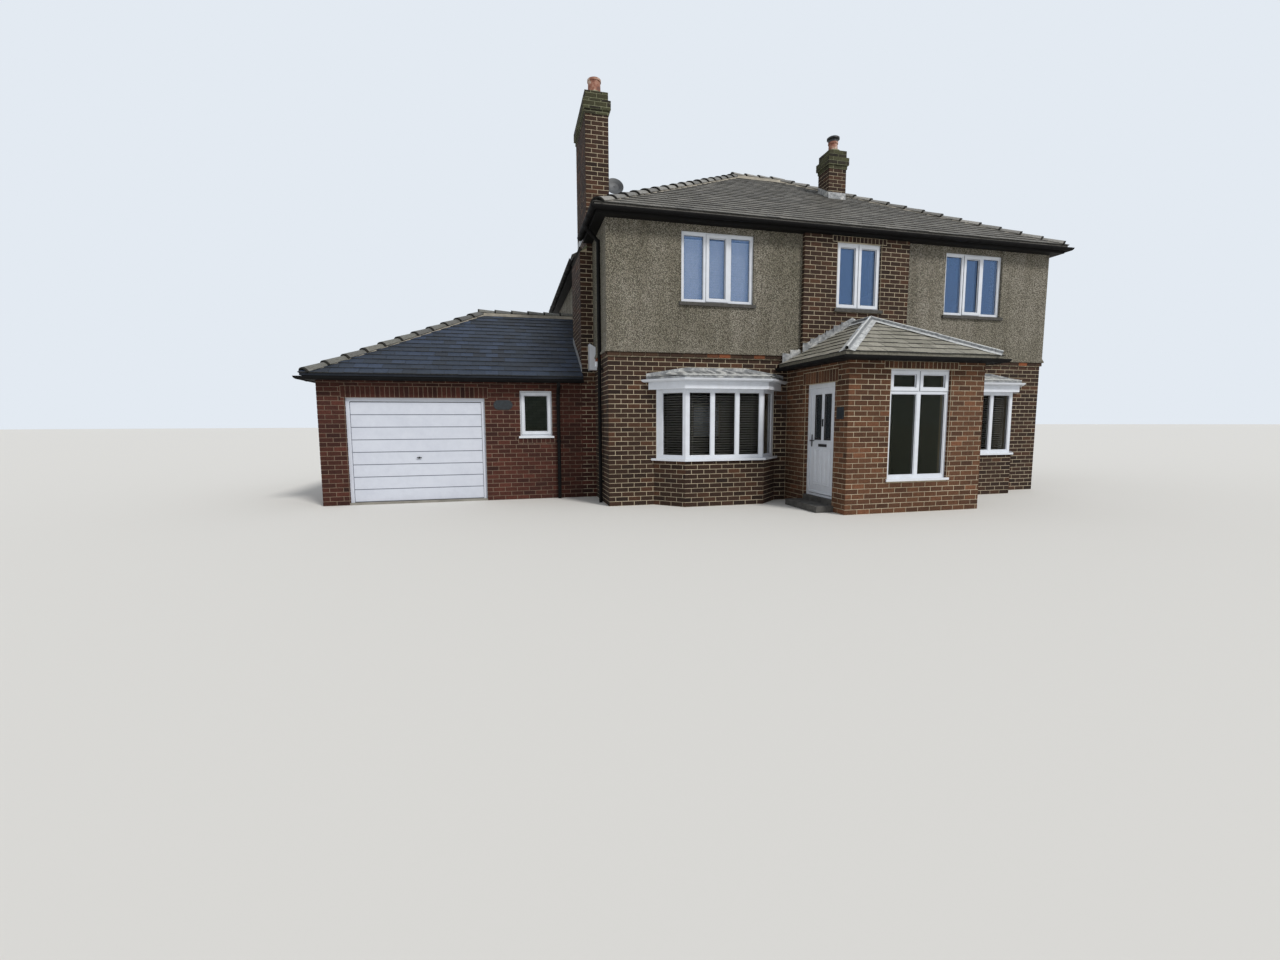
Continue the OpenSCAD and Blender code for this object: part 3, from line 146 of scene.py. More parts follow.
# Brickwork
# Three inch bricks in stretcher bond, 86 mm to a course, with bucket-handle joints of lime and sand mortar.
# Main walls, porch and chimneys are dark multi-coloured bricks, and the later garage a redder one.
CORNER = Vector((-4.885, -4.25, 0))
HOUSE_W, HOUSE_D = 9.77, 8.5
BRICK_TOP = 2.744
COURSE = 0.086
BRICK = (0.229, 0.076)
JOINT = 0.010
PROUD = 0.005
ARRIS = 0.0035
SLIVER = 0.014


def settle():
    """Puts the active object's place, turn and size into its mesh."""
    bpy.ops.object.transform_apply(location=True, rotation=True, scale=True)


def block(size, middle=(0, 0, 0)):
    """A cube drawn out to a size about its middle, to be worked on."""
    deselect()
    bpy.ops.mesh.primitive_cube_add(size=1, location=middle)
    bpy.ops.transform.resize(value=size)
    settle()
    return bpy.context.object


def edit(kind=None, chosen=None):
    """Edit mode with all of the active mesh selected, or only the polygons or edges that a test picks."""
    bpy.ops.object.mode_set(mode="EDIT")
    bpy.ops.mesh.select_all(action="DESELECT" if chosen else "SELECT")
    if chosen:
        bpy.ops.object.mode_set(mode="OBJECT")
        for part in getattr(bpy.context.object.data, kind):
            part.select = chosen(part)
        bpy.ops.object.mode_set(mode="EDIT")


def take_shape():
    """The points and faces of the active object, which is a model to be copied many times and goes."""
    bpy.ops.object.mode_set(mode="OBJECT")
    model = bpy.context.object
    points = np.array([v.co for v in model.data.vertices])
    faces = [tuple(f.vertices) for f in model.data.polygons]
    bpy.data.objects.remove(model)
    return points, faces


# One brick is the face, rounded arrises and sides that stand out of the mortar
brick = block((BRICK[0], 2 * PROUD, BRICK[1]))
edit("polygons", lambda face: face.normal.y > 0.5)
bpy.ops.mesh.delete(type="FACE")
edit("edges", lambda edge: all(brick.data.vertices[v].co.y < 0 for v in edge.vertices))
bpy.ops.mesh.select_mode(type="EDGE")
bpy.ops.mesh.bevel(offset=ARRIS, segments=1, affect="EDGES")
brick_points, brick_faces = take_shape()
brick_points[:, 1] = np.minimum(brick_points[:, 1], 0)


def cut_out(pieces, hole):
    """Upright rectangles (u0, z0, u1, z1) with a rectangular hole taken out of them."""
    kept = []
    for u0, z0, u1, z1 in pieces:
        if hole[0] >= u1 or hole[2] <= u0 or hole[1] >= z1 or hole[3] <= z0:
            kept.append((u0, z0, u1, z1))
            continue
        if hole[0] > u0:
            kept.append((u0, z0, hole[0], z1))
        if hole[2] < u1:
            kept.append((hole[2], z0, u1, z1))
        if hole[1] > z0:
            kept.append((max(u0, hole[0]), z0, min(u1, hole[2]), hole[1]))
        if hole[3] < z1:
            kept.append((max(u0, hole[0]), hole[3], min(u1, hole[2]), z1))
    return kept


def bond(width, low, high, holes, upright, start):
    """Bricks of one wall face as (u0, z0, u1, z1), courses counted from the ground, slivers left out."""
    laid = []
    for k in range(int(low / COURSE), int(math.ceil(high / COURSE))):
        z0 = max(k * COURSE + JOINT / 2, low)
        z1 = min((k + 1) * COURSE - JOINT / 2, high)
        half = BRICK[0] / 2 if (k + start) % 2 else BRICK[0]
        u = -BRICK[0] + half
        while u < width:
            row = [(max(u, -PROUD), z0, min(u + BRICK[0], width + PROUD), z1)]
            for hole in list(holes) + list(upright):
                row = cut_out(row, (hole[0] - JOINT / 2, hole[1] - JOINT / 2,
                                    hole[2] + JOINT / 2, hole[3] + JOINT / 2))
            laid += [r for r in row if r[2] - r[0] > SLIVER and r[3] - r[1] > SLIVER]
            u += BRICK[0] + JOINT
    for u0, z0, u1, z1 in upright:
        n = max(1, round((u1 - u0) / COURSE))
        step = (u1 - u0) / n
        for i in range(n):
            u = u0 + i * step + JOINT / 2
            laid.append((u, z0 + JOINT / 2, u + step - JOINT, z1 - JOINT / 2))
    return laid


def new_piece(name, points, faces, finishes, indices=None, **marks):
    """A piece of the house from its points and faces, each mark a number kept on every face."""
    mesh = bpy.data.meshes.new(name)
    mesh.from_pydata(points, [], faces)
    for mark, values in marks.items():
        mesh.attributes.new(mark, "FLOAT", "FACE").data.foreach_set("value", values)
    for finish in finishes:
        mesh.materials.append(finish)
    if indices:
        mesh.polygons.foreach_set("material_index", indices)
    piece = bpy.data.objects.new(name, mesh)
    bpy.context.scene.collection.objects.link(piece)
    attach(piece, "house")
    return piece


def lay_bricks(name, faces, clay, seed):
    """One piece of brickwork. A face is its left foot (x, y), direction, width, low and high, and where it
    has them its holes, its upright bricks and how far it stands out."""
    random = np.random.default_rng(seed)
    points, quads, fired = [], [], []
    start = 0
    for count, face in enumerate(faces):
        foot, way, width, low, high, holes, upright, out = face + ((), (), 0)[len(face) - 5 :]
        bricks = np.array(bond(width, low, high, holes, upright, count))
        n = len(bricks)
        size = np.stack([bricks[:, 2] - bricks[:, 0], bricks[:, 3] - bricks[:, 1]], 1)
        middle = np.stack([bricks[:, 2] + bricks[:, 0], bricks[:, 3] + bricks[:, 1]], 1) / 2
        grow = (size - np.array(BRICK)) / 2
        along = brick_points[None, :, 0] + np.sign(brick_points[None, :, 0]) * grow[:, :1] + middle[:, :1]
        up = brick_points[None, :, 2] + np.sign(brick_points[None, :, 2]) * grow[:, 1:] + middle[:, 1:]
        deep = brick_points[None, :, 1] * random.uniform(0.75, 1.2, (n, 1)) - out
        way = np.array(way, float) / np.hypot(*way)
        x = foot[0] + CORNER.x + along * way[0] - deep * way[1]
        y = foot[1] + CORNER.y + along * way[1] + deep * way[0]
        points.append(np.stack([x, y, up], 2).reshape(-1, 3))
        first = start + np.arange(n) * len(brick_points)
        quads.append((np.array(brick_faces)[None] + first[:, None, None]).reshape(-1, 4))
        fired.append(np.repeat(random.beta(3.0, 2.6, n), len(brick_faces)))
        start += len(points[-1])
    new_piece(name, np.concatenate(points).tolist(), np.concatenate(quads).tolist(), [clay],
              fired=np.concatenate(fired).astype(np.float32))


def brick_clay(name, *shades):
    """Sand-faced fired clay: each brick its own shade, drag marks and sand grains."""
    clay, tree, place = new_material(name)
    fired = add(tree, "Attribute", attribute_name="fired")
    shade = add(tree, "ValToRGB", {"Fac": (fired, "Fac")}, list(zip((0.0, 0.35, 0.7, 1.0), shades)))
    clouds = add(tree, "TexNoise", {"Vector": place, "Scale": 38.0, "Detail": 5.0, "Roughness": 0.7})
    stain = add(tree, "ValToRGB", {"Fac": clouds}, [(0.28, "8a8078"), (0.72, "ffffff")])
    burnt = add(tree, "MixRGB", {"Fac": 0.75, "Color1": shade, "Color2": stain}, blend_type="MULTIPLY")
    weather = add(tree, "TexNoise", {"Vector": place, "Scale": 0.9, "Detail": 3.0})
    wash = add(tree, "ValToRGB", {"Fac": weather}, [(0.35, "b9b2aa"), (0.65, "ffffff")])
    colour = add(tree, "MixRGB", {"Fac": 0.5, "Color1": burnt, "Color2": wash}, blend_type="MULTIPLY")
    grains = add(tree, "TexNoise", {"Vector": place, "Scale": 160.0, "Detail": 4.0, "Roughness": 0.75})
    relief = add(tree, "Bump", {"Strength": 0.55, "Distance": 0.004, "Height": grains})
    coat(tree, {"Base Color": colour, "Roughness": 0.88, "Specular IOR Level": 0.3, "Normal": relief})
    return clay


# The brown bricks read as dark plum and umber with a few orange ones, and the garage as an even brick red.
# The brown brick is one brick in two lights: darker as painted shade on the main walls and chimneys, lighter
# as painted sunlight on the porch
brown_clay = brick_clay("sand_faced_brick_painted_shade", "291d17", "3c2b22", "493428", "684632")
porch_clay = brick_clay("sand_faced_brick_painted_sunlight", "452f23", "634431", "745039", "8d5e43")
# The garage's red brick is darkened further as painted shade
red_clay = brick_clay("wire_cut_red_brick", "341d19", "4a2922", "583127", "6f3f34")
# The band under the render is darkened as painted shade of the render's drip above it
band_clay = brick_clay("band_brick_painted_drip_shade", "2f211a", "402e23", "4f3a2b", "b0663f")


def weathered(name, grain, shades, skin, relief=None, dull=None):
    """A plain stuff shaded by one cloudy noise. Grain is its scale, detail and roughness, skin the surface's
    own numbers, relief a bump's strength, depth and maybe finer grain, dull the greys of its roughness."""
    made, tree, place = new_material(name)
    clouds = add(tree, "TexNoise", {"Vector": place, **dict(zip(("Scale", "Detail", "Roughness"), grain))})
    skin = {"Base Color": add(tree, "ValToRGB", {"Fac": clouds}, shades), **skin}
    if dull:
        skin["Roughness"] = add(tree, "ValToRGB", {"Fac": clouds}, dull)
    if relief:
        strength, depth, *fine = relief
        if fine:
            clouds = add(tree, "TexNoise", {"Vector": place, "Scale": fine[0], "Detail": fine[1]})
        skin["Normal"] = add(tree, "Bump", {"Strength": strength, "Distance": depth, "Height": clouds})
    coat(tree, skin)
    return made


def bed_mortar(name, pale_tone, dark_tone):
    """Lime and sand mortar: pale, gritty, with damp patches that darken it."""
    return weathered(name, (1.6, 6.0, 0.65), [(0.3, dark_tone), (0.62, pale_tone)], {"Roughness": 0.95},
                     (0.5, 0.003, 240.0, 3.0))


cream_mortar = bed_mortar("cream_lime_mortar", "c8bba1", "90856f")
# The garage's mortar is dimmed as painted shade
garage_mortar = bed_mortar("cement_mortar_painted_shade", "877564", "655548")

# Matt plaster inside the house, darkened to grey-brown as painted shade of the unlit rooms, its trowel marks
# just visible
plaster, tree, place = new_material("room_shade_plaster")
trowel = add(tree, "TexNoise", {"Vector": place, "Scale": 6.0, "Detail": 4.0})
relief = add(tree, "Bump", {"Strength": 0.15, "Distance": 0.004, "Height": trowel})
coat(tree, {"Base Color": linear("8b857a"), "Roughness": 0.9, "Normal": relief})

# Off-white wash over the bare bricks inside the garage, the courses still showing
limewash, tree, place = new_material("limewashed_fair_faced_brick")
axes = add(tree, "SeparateXYZ", {"Vector": place})
along = add(tree, "Math", {0: axes, 1: (axes, "Y")}, operation="ADD")
courses = add(tree, "CombineXYZ", {"X": along, "Y": (axes, "Z")})
joints = add(tree, "TexBrick", {"Vector": courses, "Scale": 1.0, "Brick Width": BRICK[0] + JOINT,
                                "Row Height": COURSE, "Mortar Size": 0.005, "Mortar Smooth": 0.4,
                                "Color1": linear("c9c3b6"), "Color2": linear("b8b1a3"),
                                "Mortar": linear("989184")})
relief = add(tree, "Bump", {"Strength": 0.6, "Distance": 0.005, "Height": (joints, "Fac")}, invert=True)
coat(tree, {"Base Color": joints, "Roughness": 0.9, "Normal": relief})

# The insides of the main block, porch and garage, each a low and a high corner
ROOMS = (((0.27, 0.27, 0.15), (9.5, 8.23, 5.3)), ((3.8, -1.79, 0.15), (6.03, 0.01, 2.6)),
         ((-4.995, 1.67, 0.0), (-0.275, 7.06, 2.6)))


def paint(nodes, outside, inside=None):
    """Gives CAD nodes their finish, and their faces inside the rooms another."""
    for node in nodes:
        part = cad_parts[node]
        part.data.materials.clear()
        part.data.materials.append(outside)
        if inside:
            part.data.materials.append(inside)
        for face in part.data.polygons:
            at = Vector(face.center) - CORNER
            within = any(all(a[i] <= at[i] <= b[i] for i in range(3)) for a, b in ROOMS)
            face.material_index = 1 if inside and within else 0


paint(("front_wall_ground", "side_walls_ground", "rear_wall_ground", "brick_panel", "bay_plinths",
       "porch_front_wall", "porch_side_walls", "porch_door_lintel", "left_chimney", "roof_chimney"),
      cream_mortar, plaster)
paint(("garage_front_wall", "garage_door_lintel", "garage_left_wall", "garage_rear_wall"),
      garage_mortar, limewash)

# Main walls and the projecting panel, round the bays, the porch and the three windows of the rear
BAYS = (2.1, 7.85)
BAY_W, BAY_OUT, PLINTH_TOP = 1.5548, 0.46, 0.84
BAY_HALF, BAY_FLAT, BAY_DEEP, BAY_HEAD = 1.195, 0.765, 0.43, 2.36
BREAST_X, BREAST_Y0, BREAST_Y1 = -0.28, 1.45, 2.8
PANEL_X0, PANEL_X1, PANEL_OUT, PANEL_LOW, PANEL_TOP = 3.83, 6.17, 0.11, 2.6, 5.14
BAND_OUT, BAND_TOP = 0.02, 2.83
PORCH_X0, PORCH_X1, PORCH_Y, PORCH_TOP = 3.585, 6.247, -2.0, 2.54
GARAGE_X, GARAGE_Y0, GARAGE_Y1, GARAGE_TOP = -5.215, 1.45, 7.28, 2.36
SOLDIER = 0.215
WINDOWS = ((2.095, 1.44, 3, (1,)), (5.031, 0.988, 2, (0, 1)), (7.85, 1.44, 3, (1,)))
# Openings of the front, porch and garage walls, each (x0, low, x1, high), and of the door in the porch's side
PANEL_WINDOW = (4.537, 3.76, 5.525, 5.03)
PORCH_WINDOW = (4.372, 0.539, 5.567, 2.419)
GARAGE_DOOR = (-4.755, 0, -2.222, 2.04)
GARAGE_WINDOW = (-1.544, 1.246, -0.901, 2.194)
DOOR_Y0, DOOR_Y1, DOOR_TOP, STEP_TOP = -0.682, -1.622, 2.224, 0.2
LEFT_REAR = 1.9
REAR_HOLES = [(HOUSE_W - c - w / 2, 0.99, HOUSE_W - c + w / 2, 2.2) for c, w, lights, opening in WINDOWS]


def hole_in(opening, x):
    """An opening as a hole in the face of a front wall whose left foot is at x."""
    return opening[0] - x, opening[1], opening[2] - x, opening[3]


lay_bricks("front_bricks", [
    ((0, 0), (1, 0), HOUSE_W, 0, BRICK_TOP,
     [(c - BAY_HALF, -1, c + BAY_HALF, BAY_HEAD) for c in BAYS] + [(3.58, -1, 6.25, 2.6)]),
], brown_clay, 11)
lay_bricks("left_bricks", [
    ((0, BREAST_Y0), (0, -1), BREAST_Y0, 0, BRICK_TOP),
    ((0, HOUSE_D), (0, -1), LEFT_REAR, 0, BRICK_TOP, [(HOUSE_D - GARAGE_Y1, -1, LEFT_REAR, 2.3)]),
], brown_clay, 12)
lay_bricks("right_bricks", [((HOUSE_W, 0), (0, 1), HOUSE_D, 0, BRICK_TOP)], brown_clay, 13)
lay_bricks("rear_bricks", [
    ((HOUSE_W, HOUSE_D), (-1, 0), HOUSE_W, 0, BRICK_TOP, REAR_HOLES,
     [(u0, z1, u1, z1 + SOLDIER) for u0, z0, u1, z1 in REAR_HOLES]),
], brown_clay, 14)
lay_bricks("panel_bricks", [
    ((PANEL_X0, -PANEL_OUT), (1, 0), PANEL_X1 - PANEL_X0, PANEL_LOW, PANEL_TOP,
     [(PANEL_WINDOW[0] - PANEL_X0, 3.7, PANEL_WINDOW[2] - PANEL_X0, PANEL_WINDOW[3])],
     [(0.6, PANEL_WINDOW[3], 1.8, PANEL_TOP)]),
    ((PANEL_X0, -0.03), (0, -1), 0.08, PANEL_LOW, PANEL_TOP),
    ((PANEL_X1, -PANEL_OUT), (0, 1), 0.08, PANEL_LOW, PANEL_TOP),
], brown_clay, 15)
lay_bricks("foot_band", [
    (foot, way, width, BRICK_TOP, BAND_TOP, (), (), 0.012)
    for foot, way, width in (
        ((-BAND_OUT, -BAND_OUT), (1, 0), PANEL_X0 + BAND_OUT),
        ((PANEL_X1, -BAND_OUT), (1, 0), HOUSE_W + BAND_OUT - PANEL_X1),
        ((-BAND_OUT, BREAST_Y0), (0, -1), BREAST_Y0 + BAND_OUT),
        ((-BAND_OUT, HOUSE_D + BAND_OUT), (0, -1), LEFT_REAR),
        ((HOUSE_W + BAND_OUT, -BAND_OUT), (0, 1), HOUSE_D + 2 * BAND_OUT),
        ((HOUSE_W + BAND_OUT, HOUSE_D + BAND_OUT), (-1, 0), HOUSE_W + 2 * BAND_OUT),
    )
], band_clay, 16)

# Porch and garage, with soldier courses over their openings
lay_bricks("porch_bricks", [
    ((PORCH_X0, PORCH_Y), (1, 0), PORCH_X1 - PORCH_X0, 0, PORCH_TOP,
     [hole_in(PORCH_WINDOW, PORCH_X0)], [(0.66, PORCH_WINDOW[3], 2.11, PORCH_TOP)]),
    ((PORCH_X0, 0), (0, -1), -PORCH_Y, 0, PORCH_TOP,
     [(-DOOR_Y0, 0, -DOOR_Y1, DOOR_TOP)], [(0.6, DOOR_TOP, 1.704, DOOR_TOP + SOLDIER)]),
    ((PORCH_X1, PORCH_Y), (0, 1), -PORCH_Y, 0, PORCH_TOP),
], porch_clay, 17)
lay_bricks("garage_bricks", [
    ((GARAGE_X, GARAGE_Y0), (1, 0), -GARAGE_X, 0, GARAGE_TOP,
     [hole_in(GARAGE_DOOR, GARAGE_X), hole_in(GARAGE_WINDOW, GARAGE_X)],
     [(0.40, GARAGE_DOOR[3], 3.053, GARAGE_DOOR[3] + SOLDIER), (3.63, 1.143, 4.355, GARAGE_WINDOW[1])]),
    ((GARAGE_X, GARAGE_Y1), (0, -1), GARAGE_Y1 - GARAGE_Y0, 0, GARAGE_TOP),
    ((0, GARAGE_Y1), (-1, 0), -GARAGE_X, 0, GARAGE_TOP),
], red_clay, 18)

# Chimneys: the breast on the left wall, its shoulder, and both stacks, each as x, y, x, y, low and high
SHOULDER, STACK_X, STACK_FOOT = 4.97, -0.14, 5.12
STACKS = ((STACK_X, BREAST_Y0, 0.32, BREAST_Y1, STACK_FOOT, 7.61), (5.94, 2.5, 6.4, 2.96, 6.5, 7.65))


def stack_faces(x0, y0, x1, y1, low, high, order=("front", "left", "right", "back")):
    """The four faces of a stack, in the order in which they are laid."""
    sides = {"front": ((x0, y0), (1, 0), x1 - x0), "left": ((x0, y1), (0, -1), y1 - y0),
             "right": ((x1, y0), (0, 1), y1 - y0), "back": ((x1, y1), (-1, 0), x1 - x0)}
    return [sides[side] + (low, high) for side in order]


lay_bricks("chimney_bricks", [
    ((BREAST_X, BREAST_Y0), (1, 0), -BREAST_X, 2.36, SHOULDER),
    ((BREAST_X, BREAST_Y1), (0, -1), BREAST_Y1 - BREAST_Y0, 2.4, SHOULDER),
    ((-0.03, BREAST_Y1), (-1, 0), 0.25, 2.9, SHOULDER),
    ((STACK_X, BREAST_Y0), (1, 0), -STACK_X, SHOULDER, STACK_FOOT),
    ((-0.03, BREAST_Y1), (-1, 0), 0.11, SHOULDER, STACK_FOOT),
] + [face for stack in STACKS for face in stack_faces(*stack)], brown_clay, 19)


def reveals(openings):
    """Brick faces for both sides of openings in front walls, each with its wall's face and its depth."""
    sides = []
    for (x0, low, x1, high), face, depth in openings:
        sides.append(((x1, face + depth), (0, -1), depth - JOINT, low, high))
        sides.append(((x0, face + JOINT), (0, 1), depth - JOINT, low, high))
    return sides


lay_bricks("panel_reveals", reveals([(PANEL_WINDOW, -PANEL_OUT, 0.05)]), brown_clay, 22)
lay_bricks("porch_reveals", reveals([(PORCH_WINDOW, PORCH_Y, 0.05)]) + [
    ((PORCH_X0 + JOINT, DOOR_Y0), (1, 0), 0.06, STEP_TOP, DOOR_TOP),
    ((PORCH_X0 + 0.07, DOOR_Y1), (-1, 0), 0.06, STEP_TOP, DOOR_TOP),
], porch_clay, 23)
lay_bricks("garage_reveals", reveals([(GARAGE_DOOR, GARAGE_Y0, 0.06), (GARAGE_WINDOW, GARAGE_Y0, 0.05)]),
           red_clay, 24)
lay_bricks("plinth_bricks", [
    (foot, way, width, 0, PLINTH_TOP)
    for c in BAYS
    for foot, way, width in (
        ((c - BAY_W / 2, -BAY_OUT), (1, 0), BAY_W),
        ((c - BAY_W / 2 - BAY_OUT, 0), (1, -1), BAY_OUT * math.sqrt(2)),
        ((c + BAY_W / 2, -BAY_OUT), (1, 1), BAY_OUT * math.sqrt(2)),
    )
], brown_clay, 20)

# Corbelled chimney heads
# Oversailing courses of the same brick at the top of both stacks, black with soot and green with moss,
# under a weak lime flaunching that beds the pots. Plain tiles weather the shoulder of the left breast.
mossy_clay = brick_clay("mossy_head_brick", "211e17", "38342a", "4c4c35", "62654a")
mossy_mortar = bed_mortar("mossy_lime_mortar", "8b8d72", "50543c")


def bevel(width, segments, sharp=None):
    """Takes off the arrises of the active piece, all of them or those sharper than an angle."""
    edit()
    if sharp:
        bpy.ops.mesh.select_mode(type="EDGE")
        bpy.ops.mesh.select_all(action="DESELECT")
        bpy.ops.mesh.edges_select_sharp(sharpness=math.radians(sharp))
    bpy.ops.mesh.bevel(offset=width, segments=segments)
    bpy.ops.object.mode_set(mode="OBJECT")


def modify(kind, **settings):
    """Gives the active object a modifier and applies it."""
    made = bpy.context.object.modifiers.new(kind.lower(), kind)
    for name, value in settings.items():
        setattr(made, name, value)
    bpy.ops.object.modifier_apply(modifier=made.name)


def repeat(count, offset):
    """Makes the active object a row of copies, each an offset from the last."""
    modify("ARRAY", use_relative_offset=False, use_constant_offset=True, constant_offset_displace=offset,
           count=count)


# Five courses at the top: one stands out a little, two farther out, and two are flush again
heads = []
for node, (x0, y0, x1, y1, low, neck) in zip(("left_chimney", "roof_chimney"), STACKS):
    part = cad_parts[node]
    part.data.materials.append(mossy_mortar)
    for face in part.data.polygons:
        shoulder = node == "left_chimney" and SHOULDER - 0.01 < face.center[2] < STACK_FOOT + 0.01
        if face.normal.z > 0.3 or face.center[2] > neck or shoulder:
            face.material_index = len(part.data.materials) - 1
    for below, above, out in ((5, 4, 0.015), (4, 2, 0.045), (2, 0, 0.0)):
        heads += stack_faces(x0 - out, y0 - out, x1 + out, y1 + out, neck + (5 - below) * COURSE,
                             neck + (5 - above) * COURSE, ("front", "right", "back", "left"))
lay_bricks("chimney_heads", heads, mossy_clay, 21)

BED_FOOT_R, BED_TOP_R, BED_H = 0.2, 0.16, 0.07
for n, (x, y, z) in enumerate(((0.09, 1.7, 8.04), (6.17, 2.73, 8.08))):
    deselect()
    bpy.ops.mesh.primitive_cone_add(vertices=28, radius1=BED_FOOT_R, radius2=BED_TOP_R, depth=BED_H,
                                    location=(x + CORNER.x, y + CORNER.y, z + BED_H / 2))
    settle()
    bed = bpy.context.object
    bed.name = f"flaunching_{n + 1}"
    bevel(0.015, 2)
    bed.data.materials.append(mossy_mortar)
    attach(bed, "house")

# Two tiles up the shoulder, the upper lapping the lower, and eight such pairs across it
crease = block((0.125, 0.163, 0.014))
crease.name = "shoulder_tiles"
bevel(0.003, 1)
for count, offset in ((2, (0.098, 0, 0.007)), (8, (0, 0.168, 0))):
    repeat(count, offset)
bpy.ops.transform.rotate(value=-math.atan2(0.15, 0.14), orient_axis="Y", center_override=(0, 0, 0))
bpy.ops.transform.translate(value=(CORNER.x - 0.25, CORNER.y + 1.537, 5.022))
settle()
crease.data.materials.append(mossy_clay)
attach(crease, "house")

# Pots and cowl
# Thrown terracotta pots with a rolled rim, flashed white and black by weather, and a black steel cowl on one.
terracotta, tree, place = new_material("thrown_terracotta")
flash = add(tree, "TexNoise", {"Vector": place, "Scale": 7.0, "Detail": 5.0, "Roughness": 0.7})
glow = add(tree, "ValToRGB", {"Fac": flash},
           [(0.3, "4f3a33"), (0.44, "8a5745"), (0.56, "a37b68"), (0.66, "cbbdb0")])
throw = add(tree, "TexWave", {"Vector": place, "Scale": 16.0, "Distortion": 1.5}, bands_direction="Z")
relief = add(tree, "Bump", {"Strength": 0.3, "Distance": 0.004, "Height": (throw, "Fac")})
coat(tree, {"Base Color": glow, "Roughness": 0.75, "Normal": relief})
paint(["chimney_pots"], terracotta)

# Powder coat gives the steel an even, slightly shining black
black_steel = weathered("powder_coated_black_steel", (18.0, 4.0), [(0.35, "17181a"), (0.7, "2c2b2a")],
                        {"Roughness": 0.45})
paint(["pot_cowl"], black_steel)

# Pebbledash
# Sand and cement render with 6 to 10 mm river gravel thrown on while wet, gone grey-green on the shaded
# parts. It reads as a coarse light and dark speckle with a deep pitted surface.
dash, tree, place = new_material("thrown_gravel_render")
stones = add(tree, "TexVoronoi", {"Vector": place, "Scale": 72.0})
bed = add(tree, "TexNoise", {"Vector": place, "Scale": 45.0, "Detail": 6.0, "Roughness": 0.75})
grey = add(tree, "ValToRGB", {"Fac": (stones, "Color")},
           [(0.1, "8d887b"), (0.4, "b5afa1"), (0.7, "dad3c3"), (1.0, "f8f2e4")])
# Painted shade in the pits between the stones
pit_shade = add(tree, "ValToRGB", {"Fac": stones}, [(0.24, "ffffff"), (0.62, "77736a")])
speckle = add(tree, "MixRGB", {"Fac": 0.8, "Color1": grey, "Color2": pit_shade}, blend_type="MULTIPLY")
algae = add(tree, "TexNoise", {"Vector": place, "Scale": 0.55, "Detail": 5.0, "Roughness": 0.6})
green = add(tree, "ValToRGB", {"Fac": algae}, [(0.35, "c0c0b0"), (0.62, "ffffff")])
aged = add(tree, "MixRGB", {"Fac": 0.6, "Color1": speckle, "Color2": green}, blend_type="MULTIPLY")
drawn = add(tree, "Mapping", {"Vector": place, "Scale": (3.5, 3.5, 0.35)})
runs = add(tree, "TexNoise", {"Vector": drawn, "Scale": 1.0, "Detail": 6.0, "Roughness": 0.6})
soot = add(tree, "ValToRGB", {"Fac": runs}, [(0.36, "c4c2b9"), (0.6, "ffffff")])
aged = add(tree, "MixRGB", {"Fac": 0.6, "Color1": aged, "Color2": soot}, blend_type="MULTIPLY")
height = add(tree, "Math", {0: bed, 1: stones}, operation="SUBTRACT")
relief = add(tree, "Bump", {"Strength": 1.0, "Distance": 0.03, "Height": height})
coat(tree, {"Base Color": aged, "Roughness": 0.95, "Normal": relief})
paint(("front_wall_upper", "side_walls_upper", "rear_wall_upper"), dash, plaster)

# Slating
# Split natural slates 250 mm wide at a 215 mm gauge, nailed to battens, each row lapping two below it.
# The house roof is brown-grey with lichen, the porch buff-grey, and the garage roof blue-grey slate darkened
# to navy as painted shade from the house under a blue sky.
GAUGE = 0.215
SLATE_W = 0.25
SLATE_GAP = 0.006


def slate_skin(name, shades, moss, patch):
    """Riven slate: flat layers that step, each slate its own shade, with pale lichen crusts."""
    skin, tree, place = new_material(name)
    split = add(tree, "Attribute", attribute_name="split")
    shade = add(tree, "ValToRGB", {"Fac": (split, "Fac")}, [(i / 3, s) for i, s in enumerate(shades)])
    veins = add(tree, "TexNoise", {"Vector": place, "Scale": 26.0, "Detail": 8.0, "Roughness": 0.72})
    stain = add(tree, "ValToRGB", {"Fac": veins}, [(0.3, "8c8984"), (0.7, "ffffff")])
    stone = add(tree, "MixRGB", {"Fac": 0.8, "Color1": shade, "Color2": stain}, blend_type="MULTIPLY")
    crust = add(tree, "TexNoise", {"Vector": place, "Scale": 11.0, "Detail": 9.0, "Roughness": 0.78})
    where = add(tree, "TexNoise", {"Vector": place, "Scale": 0.45, "Detail": 2.0})
    both = add(tree, "Math", {0: crust, 1: where}, operation="ADD")
    spots = add(tree, "ValToRGB", {"Fac": both}, [(patch, "000000"), (patch + 0.14, "ffffff")])
    colour = add(tree, "MixRGB", {"Fac": spots, "Color1": stone, "Color2": linear(moss)})
    flakes = add(tree, "TexNoise", {"Vector": place, "Scale": 34.0, "Detail": 10.0, "Roughness": 0.6})
    relief = add(tree, "Bump", {"Strength": 0.6, "Distance": 0.006, "Height": flakes})
    coat(tree, {"Base Color": colour, "Roughness": 0.62, "Specular IOR Level": 0.4, "Normal": relief})
    return skin


def clip(shape, a, b):
    """A convex shape of (u, w) points, kept on the left of the line from a to b."""
    kept = []
    side = [(b[0] - a[0]) * (p[1] - a[1]) - (b[1] - a[1]) * (p[0] - a[0]) for p in shape]
    for i, p in enumerate(shape):
        q, sp, sq = shape[(i + 1) % len(shape)], side[i], side[(i + 1) % len(shape)]
        if sp >= 0:
            kept.append(p)
        if (sp >= 0) != (sq >= 0):
            t = sp / (sp - sq)
            kept.append((p[0] + (q[0] - p[0]) * t, p[1] + (q[1] - p[1]) * t))
    return kept


